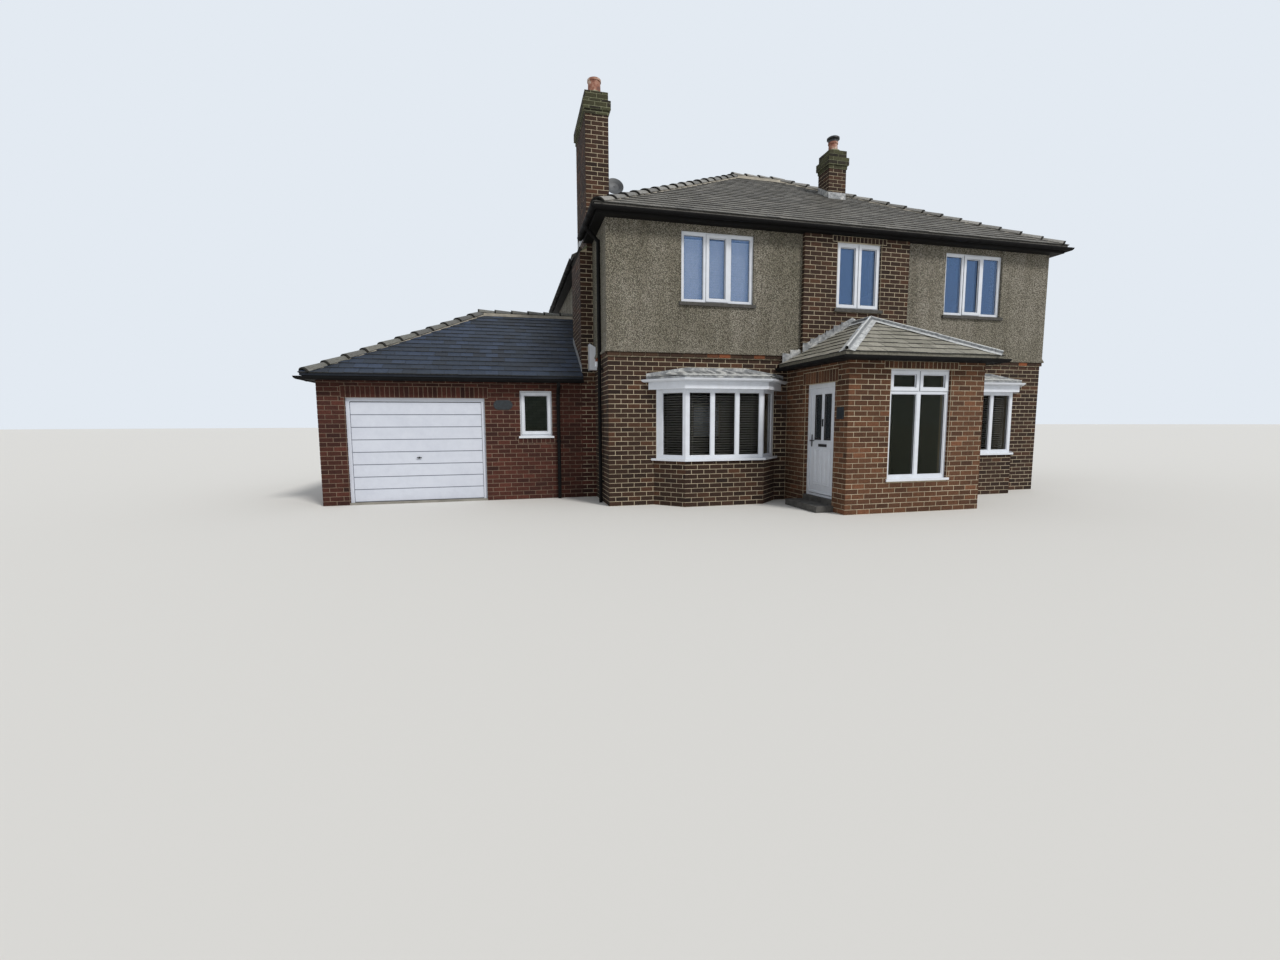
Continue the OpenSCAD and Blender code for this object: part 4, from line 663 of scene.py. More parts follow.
def lay_slates(name, slopes, skin, seed):
    """Slates of several slopes as one piece. A slope is the left end of its eaves (x, y, z), direction,
    pitch, outline in plan along and up from there, and the plan rectangles that are slated."""
    random = np.random.default_rng(seed)
    points, faces, split, edges = [], [], [], []
    for foot, way, pitch, outline, areas in slopes:
        sin, cos = math.sin(math.radians(pitch)), math.cos(math.radians(pitch))
        way = Vector((way[0], way[1], 0)).normalized()
        inward = Vector((-way.y, way.x, 0))
        lift = Vector((-inward.x * sin, -inward.y * sin, cos))
        corner = Vector(foot) + CORNER
        sides = [(a, b) for a, b in zip(outline, outline[1:] + outline[:1]) if a[1] or b[1]]
        length, reach = (max(p[i] for p in outline) for i in (0, 1))
        for k in range(math.ceil(reach / (GAUGE * cos))):
            w0, w1 = k * GAUGE * cos, (k + 1) * GAUGE * cos
            u = -SLATE_W * random.uniform(0.45, 0.55) * (k % 2) - 0.02
            while u < length:
                tail = w0 - random.uniform(0.0, 0.006) - (0.012 if k == 0 else 0)
                shade = random.beta(1.8, 1.8)
                thick = random.uniform(0.012, 0.019)
                for a0, b0, a1, b1 in areas:
                    left, right = max(u, a0), min(u + SLATE_W - SLATE_GAP, a1)
                    low, high = max(tail, b0 - 0.02), min(w1, b1)
                    if right - left < 0.01 or high - low < 0.01:
                        continue
                    shape = [(left, low), (right, low), (right, high), (left, high)]
                    for a, b in sides:
                        shape = clip(shape, a, b)
                    n, m = len(points), len(shape)
                    if m < 3:
                        continue
                    for pu, pw in shape:
                        base = corner + way * pu + inward * pw + Vector((0, 0, pw * sin / cos))
                        rise = thick - (thick - 0.002) * min(1, (pw - w0) / (w1 - w0))
                        points += [base + lift * rise, base]
                    faces.append([n + 2 * i for i in range(m)])
                    for i in range(m):
                        j = (i + 1) % m
                        faces.append([n + 2 * i + 1, n + 2 * j + 1, n + 2 * j, n + 2 * i])
                    split += [shade] * (m + 1)
                    # The top of each slate takes its skin, and its sides the painted shade of the edges
                    edges += [0] + [1] * m
                u += SLATE_W
    new_piece(name, points, faces, [skin, slate_edge], edges, split=split)


# The slates' edges carry painted shade, darker than the riven faces, so that each row draws a thin dark line
slate_edge = weathered("slate_sides_painted_shade", (40.0, 3.0), [(0.3, "2a2a29"), (0.7, "4a4946")],
                       {"Roughness": 0.8})
house_slate = slate_skin("riven_grey_slate", ["625f59", "6d6a63", "78756d", "85817a"], "a19c8f", 1.14)
porch_slate = slate_skin("riven_buff_grey_slate", ["8d8a7d", "9b988b", "a6a396", "b3afa2"], "bdb9a9", 1.1)
# Painted shade: the garage slates are darker and bluer than the slate itself
garage_slate = slate_skin("riven_blue_grey_slate_painted_shade", ["131c2a", "1a2738", "243349", "30405a"], "6c6f6e", 1.24)
paint(["main_roof"], house_slate)
paint(["porch_roof"], porch_slate)
paint(["garage_roof"], garage_slate)

# Each roof's eaves line, with its pitch and the plan run from the eaves to the ridge
ALL = [(-1, 0, 99, 99)]
X0, X1, Y0, Y1, Z = -0.253, 10.023, -0.245, 8.745, 5.305
PITCH, RUN = 31, (Y1 - Y0) / 2
LONG = [(0, 0), (X1 - X0, 0), (X1 - X0 - RUN, RUN), (RUN, RUN)]
lay_slates("house_slates", [
    ((X0, Y0, Z), (1, 0), PITCH, LONG, ALL),
    ((X1, Y0, Z), (0, 1), PITCH, [(0, 0), (2 * RUN, 0), (RUN, RUN)], ALL),
    ((X1, Y1, Z), (-1, 0), PITCH, LONG, ALL),
    ((X0, Y1, Z), (0, -1), PITCH, [(0, 0), (2 * RUN, 0), (RUN, RUN)],
     [(-1, 0, 5.945, 99), (7.295, 0, 99, 99), (5.945, 0.573, 7.295, 99)]),
], house_slate, 31)
GX0, GY0, GY1, GZ = -5.418, 1.255, 7.475, 2.48
G_PITCH, G_RUN, G_LONG = 29.3, (GY1 - GY0) / 2, 5.388
lay_slates("garage_slates", [
    ((GX0, GY0, GZ), (1, 0), G_PITCH, [(0, 0), (G_LONG, 0), (G_LONG, G_RUN), (G_RUN, G_RUN)],
     [(-1, 0, 5.138, 1.545), (-1, 1.545, G_LONG, 99)]),
    ((-0.03, GY1, GZ), (-1, 0), G_PITCH, [(0, 0), (G_LONG, 0), (G_LONG - G_RUN, G_RUN), (0, G_RUN)], ALL),
    ((GX0, GY1, GZ), (0, -1), G_PITCH, [(0, 0), (2 * G_RUN, 0), (G_RUN, G_RUN)], ALL),
], garage_slate, 32)
PX0, PX1, PY0, PZ = 3.397, 6.435, -2.18, 2.66
P_PITCH, P_RUN = 27.5, (PX1 - PX0) / 2
lay_slates("porch_slates", [
    ((PX0, PY0, PZ), (1, 0), P_PITCH, [(0, 0), (2 * P_RUN, 0), (P_RUN, P_RUN)], ALL),
    ((PX1, PY0, PZ), (0, 1), P_PITCH, [(0, 0), (-PY0, 0), (-PY0, P_RUN), (P_RUN, P_RUN)],
     [(-1, 0, 2.175, 99)]),
    ((PX0, 0, PZ), (0, -1), P_PITCH, [(0, 0), (-PY0, 0), (-PY0 - P_RUN, P_RUN), (0, P_RUN)],
     [(0.005, 0, 99, 99)]),
], porch_slate, 33)

# Ridge and hip tiles
# Half-round clay tiles 450 mm long, bedded on mortar over every hip and ridge, each lapping the one below.
# They have weathered grey, with dark moss and painted shade in the open joints.
TILE = 0.45
SHOWN = TILE * 0.93
TILE_R, TILE_T = 0.135, 0.022
COLLAR = 0.035
CUT, SEAT = 0.065, 0.075


def model_tile():
    """One half-round tile along +Y, its crown up, as points, faces and which of those are its collar."""
    deselect()
    bpy.ops.mesh.primitive_cylinder_add(vertices=28, radius=TILE_R, depth=TILE, end_fill_type="NOTHING",
                                        rotation=(math.pi / 2, 0, 0), location=(0, TILE / 2, 0))
    settle()
    tile = bpy.context.object
    edit()
    bpy.ops.mesh.bisect(plane_co=(0, 0, CUT), plane_no=(0, 0, 1), clear_inner=True)
    bpy.ops.mesh.select_all(action="SELECT")
    bpy.ops.transform.translate(value=(0, 0, -SEAT))
    bpy.ops.object.mode_set(mode="OBJECT")
    for v in tile.data.vertices:
        if v.co.y < 0.01:
            v.co.z += TILE_T
            v.co.x *= 1.06
    modify("SOLIDIFY", thickness=TILE_T)
    edit()
    bpy.ops.mesh.bisect(plane_co=(0, COLLAR, 0), plane_no=(0, 1, 0))
    edit("polygons", lambda face: face.center.y < COLLAR - 0.001)
    bpy.ops.transform.resize(value=(1.16, 1, 1.3))
    bpy.ops.object.mode_set(mode="OBJECT")
    collar = [int(f.center.y < COLLAR - 0.001) for f in tile.data.polygons]
    return *take_shape(), collar


tile_points, tile_faces, tile_collar = model_tile()


def lay_tiles(name, lines, clay, seed):
    """Tiles up each line from a low to a high point, as one piece on two fillets of mortar."""
    random = np.random.default_rng(seed)
    points, faces, split, stuff = [], [], [], []
    n = 0
    fillet = ((0.09, -0.015), (0.128, -0.015), (0.15, -0.1), (0.09, -0.1))
    for low, high in lines:
        low, high = Vector(low) + CORNER, Vector(high) + CORNER
        run = high - low
        count = round(run.length / SHOWN)
        step = run.length / count
        y = run.normalized()
        x = y.cross(Vector((0, 0, 1))).normalized()
        z = x.cross(y)
        for side in (-1, 1):
            for start in (low + y * 0.14, high):
                points += [start + x * (side * u) + z * w for u, w in fillet]
            for quad in ((0, 1, 5, 4), (1, 2, 6, 5), (2, 3, 7, 6), (3, 0, 4, 7), (3, 2, 1, 0), (4, 5, 6, 7)):
                faces.append([n + k for k in quad[::side]])
            split += [0.5] * 6
            stuff += [2] * 6
            n += 8
        for i in range(count):
            turn = random.normal(0, 0.006)
            local = tile_points * (1, step / SHOWN, 1) + (0, 0, random.normal(0, 0.002))
            points += (np.array(low + y * (i * step)) + local @ np.array((x + z * turn, y, z))).tolist()
            faces += [[n + v for v in f] for f in tile_faces]
            split += [random.beta(1.8, 1.8)] * len(tile_faces)
            stuff += tile_collar
            n += len(tile_points)
    piece = new_piece(name, points, faces, [clay, moss, bedding], stuff, split=split)
    deselect()
    piece.select_set(True)
    bpy.context.view_layer.objects.active = piece
    bpy.ops.object.shade_smooth_by_angle(angle=math.radians(35))
    return piece


# Moss fills the open joints, painted near black as the shade under the roll, with a few dry green tips
moss = weathered("joint_moss_and_painted_shade", (48.0, 6.0, 0.7),
                 [(0.3, "0f0f0d"), (0.6, "211f19"), (0.8, "4b4a36")],
                 {"Roughness": 0.95}, (1.0, 0.012))
bedding = bed_mortar("tile_bedding_mortar", "b9b2a3", "77736a")
# Old fired clay under lichen: pale grey on the house, and a darker grey on the shaded garage
tile_clay = slate_skin("weathered_tile_clay", ["74736f", "868581", "979691", "a9a7a1"], "bdbaaa", 1.08)
shaded_clay = slate_skin("shaded_tile_clay", ["5d5e5c", "6b6b68", "787872", "88867e"], "a5a292", 1.08)
APEX = Z + RUN * math.tan(math.radians(PITCH))
G_APEX = GZ + G_RUN * math.tan(math.radians(G_PITCH))
INSET = 0.05
main_tiles = lay_tiles("house_ridge_tiles", [
    ((X0 + INSET, Y0 + INSET, Z), (X0 + RUN, Y0 + RUN, APEX)),
    ((X1 - INSET, Y0 + INSET, Z), (X1 - RUN, Y0 + RUN, APEX)),
    ((X0 + INSET, Y1 - INSET, Z), (X0 + RUN, Y1 - RUN, APEX)),
    ((X1 - INSET, Y1 - INSET, Z), (X1 - RUN, Y1 - RUN, APEX)),
    ((X0 + RUN - 0.1, Y0 + RUN, APEX + 0.01), (X1 - RUN + 0.1, Y0 + RUN, APEX + 0.01)),
], tile_clay, 41)
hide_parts("ridge_tiles")
lay_tiles("garage_ridge_tiles", [
    ((GX0 + INSET, GY0 + INSET, GZ), (GX0 + G_RUN, GY0 + G_RUN, G_APEX)),
    ((GX0 + INSET, GY1 - INSET, GZ), (GX0 + G_RUN, GY1 - G_RUN, G_APEX)),
    ((GX0 + G_RUN - 0.1, GY0 + G_RUN, G_APEX + 0.01), (-0.04, GY0 + G_RUN, G_APEX + 0.01)),
], shaded_clay, 42)

# Fascias, soffits and rainwater goods
# Boards painted black, gone dull, with black plastic gutters on brackets and round downpipes. Both blacks are
# deepened past real paint and plastic as painted shade of the eaves.
black_paint = weathered("old_black_gloss_paint", (3.0, 6.0, 0.7), [(0.3, "0a0a0a"), (0.7, "151413")],
                        {"Roughness": 0.75, "Specular IOR Level": 0.2}, (0.2, 0.002, 60.0, 3.0))
paint(["eaves"], black_paint)

# Extruded plastic, smooth where rain keeps it clean and dull where dust lies
black_pvc, tree, place = new_material("black_pvc_rainwater_goods")
dust = add(tree, "TexNoise", {"Vector": place, "Scale": 5.0, "Detail": 5.0})
tone = add(tree, "ValToRGB", {"Fac": dust}, [(0.35, "080809"), (0.75, "151414")])
rub = add(tree, "Math", {0: dust, 1: 0.3}, operation="ADD")
coat(tree, {"Base Color": tone, "Roughness": rub, "Specular IOR Level": 0.18})
paint(("gutters", "downpipes"), black_pvc)

# A bracket is a strap that hugs the half round, its back on y = 0
GUTTER_R = 0.06
STRAP_W, STRAP_T = 0.03, 0.005
SPACING = 0.9
deselect()
bpy.ops.mesh.primitive_circle_add(vertices=20, radius=GUTTER_R + 0.003, location=(0, -GUTTER_R, 0),
                                  rotation=(math.pi / 2, 0, math.pi / 2))
settle()
edit()
bpy.ops.mesh.bisect(plane_co=(0, 0, 0.002), plane_no=(0, 0, 1), clear_outer=True)
bpy.ops.mesh.select_all(action="SELECT")
bpy.ops.mesh.extrude_region_move(TRANSFORM_OT_translate={"value": (STRAP_W, 0, 0)})
bpy.ops.object.mode_set(mode="OBJECT")
modify("SOLIDIFY", thickness=STRAP_T, offset=0)
strap_points, strap_faces = take_shape()
strap_points[:, 1] = np.maximum(strap_points[:, 1], -2 * GUTTER_R)

# Gutter corners in the order that keeps the outside on the right, at the height of the brackets
points, faces = [], []
for z, corners in (
    (5.233, ((-0.215, 1.45), (-0.215, -0.215), (9.985, -0.215), (9.985, 8.715), (-0.215, 8.715),
             (-0.215, 2.8))),
    (2.408, ((0, 7.445), (-5.38, 7.445), (-5.38, 1.285), (-0.28, 1.285))),
    (2.588, ((3.435, 0), (3.435, -2.15), (6.397, -2.15), (6.397, 0))),
):
    for start, end in zip(corners, corners[1:]):
        start, end = Vector((*start, z)) + CORNER, Vector((*end, z)) + CORNER
        x = (end - start).normalized()
        count = max(1, round((end - start).length / SPACING))
        for i in range(count):
            at = start + (end - start) * ((i + 0.5) / count)
            faces += [[len(points) + v for v in f] for f in strap_faces]
            points += (np.array(at) + strap_points @ np.array((x, (-x.y, x.x, 0), (0, 0, 1)))).tolist()
new_piece("gutter_brackets", points, faces, [black_pvc])

# Lead
# Milled sheet lead dressed over the brickwork joints and bay tops, silver-grey with a white bloom and rumpled
# where it was beaten down.
lead = weathered("dressed_milled_lead", (6.0, 6.0, 0.7), [(0.3, "5f6265"), (0.5, "8f9193"), (0.68, "c9c9c5")],
                 {"Metallic": 0.35, "Roughness": 0.55}, (0.8, 0.02, 14.0, 2.0))
paint(("leadwork", "bay_roofs"), lead)

# Crumpled sheet, scuffed, with painted light on its folds and painted shade in its creases
lit_crumpled_lead, tree, place = new_material("crumpled_lead_painted_light")
fold = add(tree, "Attribute", attribute_name="fold")
scuffs = add(tree, "TexNoise", {"Vector": place, "Scale": 24.0, "Detail": 5.0, "Roughness": 0.7})
height = add(tree, "Math", {0: (fold, "Fac"), 1: scuffs}, operation="ADD")
tone = add(tree, "ValToRGB", {"Fac": height},
           [(0.3, "3a3c3e"), (0.55, "7b7e80"), (0.85, "abadae"), (1.0, "d0d2d0")])
relief = add(tree, "Bump", {"Strength": 0.6, "Distance": 0.008, "Height": scuffs})
coat(tree, {"Base Color": tone, "Metallic": 0.2, "Roughness": 0.5, "Normal": relief})

# The sheet and its lengths, the roll and wings of a hip, and the plan, height and pitch of a bay's lead
SHEET_T, SHEET_L, LAP = 0.003, 1.3, 0.07
ROLL_W, ROLL_H, ROLL_Z, WING_W = 0.028, 0.036, 0.044, 0.1
BAY_LEAD_HALF, BAY_LEAD_OUT, BAY_LEAD_Z, BAY_LEAD_PITCH = 1.393, 0.57, 2.381, 13


def finish_sheet(sheet, folds):
    """Keeps the light and shade painted on each point of a sheet, and gives it its thickness and its skin."""
    sheet.data.attributes.new("fold", "FLOAT", "POINT").data.foreach_set("value", folds)
    modify("SOLIDIFY", thickness=SHEET_T)
    bpy.ops.object.shade_smooth_by_angle(angle=math.radians(50))
    sheet.data.materials.append(lit_crumpled_lead)


def dress_lead(name, middle, seed):
    """The sheet over one bay: it follows the three slopes, crumpled in folds that run up from the gutter."""
    random = np.random.default_rng(seed)
    phases = random.uniform(0, 2 * math.pi, 6)
    deselect()
    bpy.ops.mesh.primitive_grid_add(x_subdivisions=150, y_subdivisions=14, size=1)
    sheet = bpy.context.object
    sheet.name = name
    folds = []
    for v in sheet.data.vertices:
        y = (v.co.y - 0.5) * BAY_LEAD_OUT
        x = 2 * v.co.x * (BAY_LEAD_HALF + y)
        reach = min(y + BAY_LEAD_OUT, (BAY_LEAD_HALF + y - abs(x)) / math.sqrt(2))
        along = x / 0.17 + 0.2 * math.sin(7 * y + phases[0]) + 0.35 * math.sin(5.3 * x + phases[1])
        along += 0.1 * math.sin(11 * x + 6 * y + phases[4])
        fold = (0.5 + 0.5 * math.sin(2 * math.pi * along)) * (0.75 + 0.25 * math.sin(7 * x + phases[5]))
        ripple = math.sin(41 * x + 23 * y + phases[2]) + math.sin(67 * x - 35 * y + phases[3])
        rise = min(1, max(0, (y + 0.5) / 0.22))
        fold = fold * rise + 0.72 * (1 - rise)
        # Painted light on the crests of the folds and painted shade in the valleys, smooth and pale near the
        # gutter
        folds.append(fold ** 2 * random.uniform(0.8, 1.15))
        drop = 0.012 if y < 0.005 - BAY_LEAD_OUT else 0
        z = BAY_LEAD_Z + reach * math.tan(math.radians(BAY_LEAD_PITCH)) - drop
        v.co = (x, y - drop / 2, z + 0.024 * fold ** 2 + 0.002 * (ripple + 2))
    finish_sheet(sheet, folds)
    sheet.data.transform(Matrix.Translation(Vector((middle, 0, 0)) + CORNER))
    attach(sheet, "house")


dress_lead("left_bay_lead", BAYS[0], 51)
dress_lead("right_bay_lead", BAYS[1], 52)


def join(name, parts):
    """One piece of several parts."""
    deselect()
    for part in parts:
        part.select_set(True)
    bpy.context.view_layer.objects.active = parts[0]
    if len(parts) > 1:
        bpy.ops.object.join()
    parts[0].name = name
    return parts[0]


def dress_hip(name, low, high, fall, seed):
    """Lead over a round wooden roll up a hip or ridge, its wings flat on the slates, in lengths that lap."""
    random = np.random.default_rng(seed)
    low, high = Vector(low) + CORNER, Vector(high) + CORNER
    run = high - low
    lengths = math.ceil(run.length / SHEET_L)
    step = run.length / lengths
    y = run.normalized()
    x = y.cross(Vector((0, 0, 1))).normalized()
    parts = []
    for i in range(lengths):
        deselect()
        bpy.ops.mesh.primitive_grid_add(x_subdivisions=26, y_subdivisions=9, size=1)
        sheet = bpy.context.object
        folds = []
        for v in sheet.data.vertices:
            side, out = math.copysign(1, v.co.x), abs(2 * v.co.x)
            t = v.co.y + 0.5
            if out <= 0.5:
                round_by = out / 0.5 * 2.1
                place = (side * ROLL_W * math.sin(round_by), ROLL_Z + ROLL_H * math.cos(round_by))
                # Painted light on the top of the roll and painted shade down its sides
                folds.append(0.52 if round_by < 0.9 else 0.05)
            else:
                wing = (out - 0.5) / 0.5
                wave = 0.003 * math.sin(14 * t + 5 * wing + seed)
                place = (side * (0.024 + WING_W * wing), 0.026 - (0.006 + fall * WING_W - wave) * wing)
                # Painted shade on the wing next to the roll, the rest of the wing a mid grey
                folds.append(0.08 if wing < 0.12 else 0.42 * random.uniform(0.8, 1.2))
            along = (i + t) * step - (LAP * (1 - t) if i else 0)
            v.co = (place[0], along, place[1] + (0.006 * (1 - t) if i else 0))
        finish_sheet(sheet, folds)
        parts.append(sheet)
    piece = join(name, parts)
    piece.data.transform(Matrix.Translation(low) @ Matrix((x, y, x.cross(y))).transposed().to_4x4())
    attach(piece, "house")


P_APEX = PZ + P_RUN * math.tan(math.radians(P_PITCH))
P_MIDDLE = PX0 + P_RUN
P_TOP = (P_MIDDLE, PY0 + P_RUN, P_APEX)
dress_hip("porch_left_hip_lead", (PX0 + 0.02, PY0 + 0.02, PZ), P_TOP, 0.345, 53)
dress_hip("porch_right_hip_lead", (PX1 - 0.02, PY0 + 0.02, PZ), P_TOP, 0.345, 54)
dress_hip("porch_ridge_lead", (P_MIDDLE, PY0 + P_RUN - 0.03, P_APEX), (P_MIDDLE, -0.12, P_APEX), 0.52, 55)

# White window joinery
# Extruded white plastic frames: every light has a sloped bead and a black gasket, and the lights that open
# have a thicker sash that stands proud of the frame. A line of mastic seals each frame to its wall.
# The plastic is a cool white with a soft sheen, duller where a film of dust lies.
white_upvc = weathered("white_extruded_upvc", (5.0, 6.0, 0.7), [(0.3, "d3d7de"), (0.62, "dde2ea")], {},
                       dull=[(0.3, "6c6c6c"), (0.7, "585858")])
# Rubber, chalky with age, that draws a thin dark line round every pane
gasket = weathered("black_rubber_gasket", (60.0, 3.0), [(0.3, "141415"), (0.7, "262628")], {"Roughness": 0.8})
# A grubby grey line between frame and wall
mastic = weathered("grey_mastic", (9.0, 5.0), [(0.3, "77756f"), (0.7, "a9a8a4")], {"Roughness": 0.7})
paint(("upper_window_frames", "ground_window_frames", "bay_window_frames", "bay_eaves", "bay_gutters",
       "front_door_frame"), white_upvc)


def gather(name, parts, foot, way, body):
    """Joins parts modelled as (along, in, up), and stands them on a wall face with this left foot and way."""
    piece = join(name, parts)
    piece.data.name = name
    way = Vector((way[0], way[1], 0)).normalized()
    turn = Matrix((way, (-way.y, way.x, 0), (0, 0, 1))).transposed().to_4x4()
    piece.data.transform(Matrix.Translation(Vector((foot[0], foot[1], 0)) + CORNER) @ turn)
    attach(piece, body)
    return piece


def grown(hole, by):
    """A rectangle (u0, z0, u1, z1) made larger all round, or smaller by less than nothing."""
    return hole[0] - by, hole[1] - by, hole[2] + by, hole[3] + by


def model_ring(hole, inset, bar, front, back, chamfer, finish):
    """A four-sided frame with arrises taken off, set in from a hole (u0, z0, u1, z1), its bars this wide."""
    deselect()
    u0, z0, u1, z1 = grown(hole, bar - inset)
    bpy.ops.mesh.primitive_plane_add(size=1, rotation=(math.pi / 2, 0, 0))
    settle()
    bpy.ops.transform.resize(value=(u1 - u0, 1, z1 - z0))
    bpy.ops.transform.translate(value=((u0 + u1) / 2, front, (z0 + z1) / 2))
    settle()
    ring = bpy.context.object
    edit()
    bpy.ops.mesh.inset(thickness=bar, depth=0)
    bpy.ops.mesh.delete(type="FACE")
    bpy.ops.mesh.select_all(action="SELECT")
    bpy.ops.mesh.extrude_region_move(TRANSFORM_OT_translate={"value": (0, back - front, 0)})
    bpy.ops.mesh.select_all(action="SELECT")
    bpy.ops.mesh.normals_make_consistent(inside=False)
    bpy.ops.object.mode_set(mode="OBJECT")
    if chamfer:
        bevel(chamfer, 2, 40)
    ring.data.materials.append(finish)
    return ring


# The sash of a light that opens with its seal, the bead and gasket of every pane, and the line of mastic
SASH_IN = 0.032
SASH = ((0, 0.058, -0.016, 0.022, 0.005, white_upvc), (0.001, 0.061, -0.004, 0.0, 0, gasket))
PANE = ((0.013, 0.014, 0.009, 0.0225, 0.004, white_upvc), (0.018, 0.007, 0.0195, 0.0228, 0, gasket))
SEAL = (0, 0.006, -0.003, 0.006, 0.002, mastic)


def glaze(lights, opening=(), outline=None):
    """Beads, gaskets and opening sashes for the lights of one frame, and the mastic round its outline."""
    parts = []
    for i, light in enumerate(lights):
        if i in opening:
            light = grown(light, -SASH_IN)
            parts += [model_ring(light, *ring) for ring in SASH]
        parts += [model_ring(light, *ring) for ring in PANE]
    return parts + ([model_ring(outline, *SEAL)] if outline else [])


# The frames' own divisions: their edge, the bar between two lights, the sill below, and each storey's heights
EDGE, MULLION, SILL_H = 0.055, 0.07, 0.04
UPPER, LOWER = (3.76, 5.03), (1.05, 2.2)


def plain_window(width, lights, opening, storey):
    """Everything in a frame of equal lights."""
    low, high = storey
    each = (width - 2 * EDGE - MULLION * (lights - 1)) / lights
    starts = [EDGE + i * (each + MULLION) for i in range(lights)]
    return glaze([(u, low + EDGE, u + each, high - EDGE) for u in starts], opening, (0, low, width, high))


for i, (middle, width, lights, opening) in enumerate(WINDOWS):
    left, right = middle - width / 2, middle + width / 2
    upper = plain_window(width, lights, opening, UPPER)
    gather(f"front_casements_{i + 1}", upper, (left, -0.06 if i == 1 else 0.02), (1, 0), "house")
    upper = plain_window(width, lights, opening, UPPER)
    gather(f"rear_casements_{i + 1}", upper, (right, 8.48), (-1, 0), "house")
    lower = plain_window(width, lights, opening, LOWER)
    gather(f"rear_ground_casements_{i + 1}", lower, (right, 8.45), (-1, 0), "house")
panes = [(u0, low, u1, high) for low, high in ((0.634, 2.01), (2.08, 2.364))
         for u0, u1 in ((EDGE, 0.5625), (0.6325, 1.14))]
x0, low, x1, high = PORCH_WINDOW
gather("porch_casements", glaze(panes, (2, 3), (0, low + SILL_H, x1 - x0, high)), (x0, PORCH_Y + 0.05),
       (1, 0), "house")
x0, low, x1, high = GARAGE_WINDOW
pane = (EDGE, low + SILL_H + EDGE, x1 - x0 - EDGE, high - EDGE)
gather("garage_casement", glaze([pane], (0,), (0, low + SILL_H, x1 - x0, high)), (x0, GARAGE_Y0 + 0.05),
       (1, 0), "house")
BAY_LOW, BAY_HIGH, BAY_LIGHT = 0.935, 2.095, 0.48667
for i, middle in enumerate(BAYS):
    front = [(MULLION + n * BAY_LIGHT, BAY_LOW, (n + 1) * BAY_LIGHT, BAY_HIGH) for n in range(3)]
    gather(f"bay_front_lights_{i + 1}", glaze(front), (middle - BAY_FLAT, -BAY_DEEP), (1, 0), "house")
    gather(f"bay_left_casement_{i + 1}", glaze([(0.1251, BAY_LOW, 0.5531, BAY_HIGH)]),
           (middle - BAY_HALF, 0), (1, -1), "house")
    gather(f"bay_right_casement_{i + 1}", glaze([(EDGE, BAY_LOW, 0.483, BAY_HIGH)]),
           (middle + BAY_FLAT, -BAY_DEEP), (1, 1), "house")

# Step flashings
# Lead soakers cut in steps, one to a brick course, where the porch slates run up against the front wall.
# Each is tucked into a joint and stands off the wall a little, so that a thin shadow lies below it.
STEP_LAP = 0.03


def step_flashing(name, x0, x1, face, seed):
    """The steps from x0 to x1 on the left slope of the porch, and their mirror images on its right."""
    random = np.random.default_rng(seed)
    tan = math.tan(math.radians(P_PITCH))
    pieces = []
    run = COURSE / tan
    for i in range(math.ceil((x1 - x0) / run)):
        for side in (-1, 1):
            low = x0 + i * run
            high = min(low + run + STEP_LAP, x1)
            deselect()
            bpy.ops.mesh.primitive_plane_add(size=1)
            step = bpy.context.object
            slope = [PZ + (x - PX0) * tan + 0.004 for x in (low, high)]
            top = slope[1] + random.uniform(0.07, 0.11)
            lean = random.uniform(0.0, 0.006, 4)
            places = ((low, slope[0]), (high, slope[1]), (low, top), (high, top - random.uniform(0.0, 0.012)))
            for v, (x, z), out in zip(step.data.vertices, places, lean):
                v.co = (side * (P_MIDDLE - x), -out, z)
            modify("SOLIDIFY", thickness=SHEET_T, offset=0)
            step.data.materials.append(lead)
            pieces.append(step)
    gather(name, pieces, (P_MIDDLE, face), (1, 0), "house")


step_flashing("panel_step_flashing", PANEL_X0, 4.9, -0.121, 61)
step_flashing("render_step_flashing", 3.43, 3.82, -0.067, 62)

# Sealed glass units
# Double glazing in clear float glass with its looks painted in: upstairs a painted reflection of a blue sky,
# in the house's ground floor a near black painted shade of the dark rooms, and in the porch and garage a dark
# olive painted reflection of the garden over dark rooms.


def float_glass(name, tint, cover, mirror):
    """Clear glass as a thin veil: the share of it that reflects carries a painted colour that stands in for
    what it mirrors and for the dark behind it.
    """
    glass, tree, place = new_material(name)
    roll = add(tree, "TexNoise", {"Vector": place, "Scale": 1.1, "Detail": 1.0})
    relief = add(tree, "Bump", {"Strength": 0.1, "Distance": 0.02, "Height": roll})
    coat(tree, {"Base Color": linear(tint), "Metallic": mirror, "Roughness": 0.03, "Alpha": cover,
                "Normal": relief})
    return glass


paint(["upper_glass"], float_glass("float_glass_painted_sky_reflection", "85a5d2", 0.27, 1.0))
paint(["ground_glass"], float_glass("float_glass_painted_room_shade", "13171b", 0.18, 0.8))
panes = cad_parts["ground_glass"].data
panes.materials.append(float_glass("float_glass_painted_garden_reflection", "363b32", 0.22, 0.8))
# The porch and garage panes take the painted garden reflection
for face in panes.polygons:
    at = Vector(face.center) - CORNER
    face.material_index = int(at.y < -1 or at.x < 0)

# Venetian blinds
# Painted wooden slats, 50 mm wide, on cords just inside the glass: nearly closed upstairs, open in the bays.
# Satin paint, a little uneven along the grain: white behind the upper panes, and in the bays darkened to a
# mild stone grey as painted shade of the unlit rooms.
white_slat, shaded_slat = (
    weathered(name, (22.0, 4.0), [(0.3, dark), (0.7, light)], {"Roughness": 0.5})
    for name, dark, light in (("white_painted_wood_slat", "d9dfe6", "eef2f7"),
                              ("wood_slat_painted_room_shade", "9b9a90", "b4b3a8"))
)
SLAT_W, SLAT_T, SLAT_PITCH, CAMBER = 0.05, 0.003, 0.046, 4.8
RAIL_D, RAIL_H = 0.055, 0.04
CORD, CORD_IN, CORD_OUT = 0.004, 0.09, -0.026


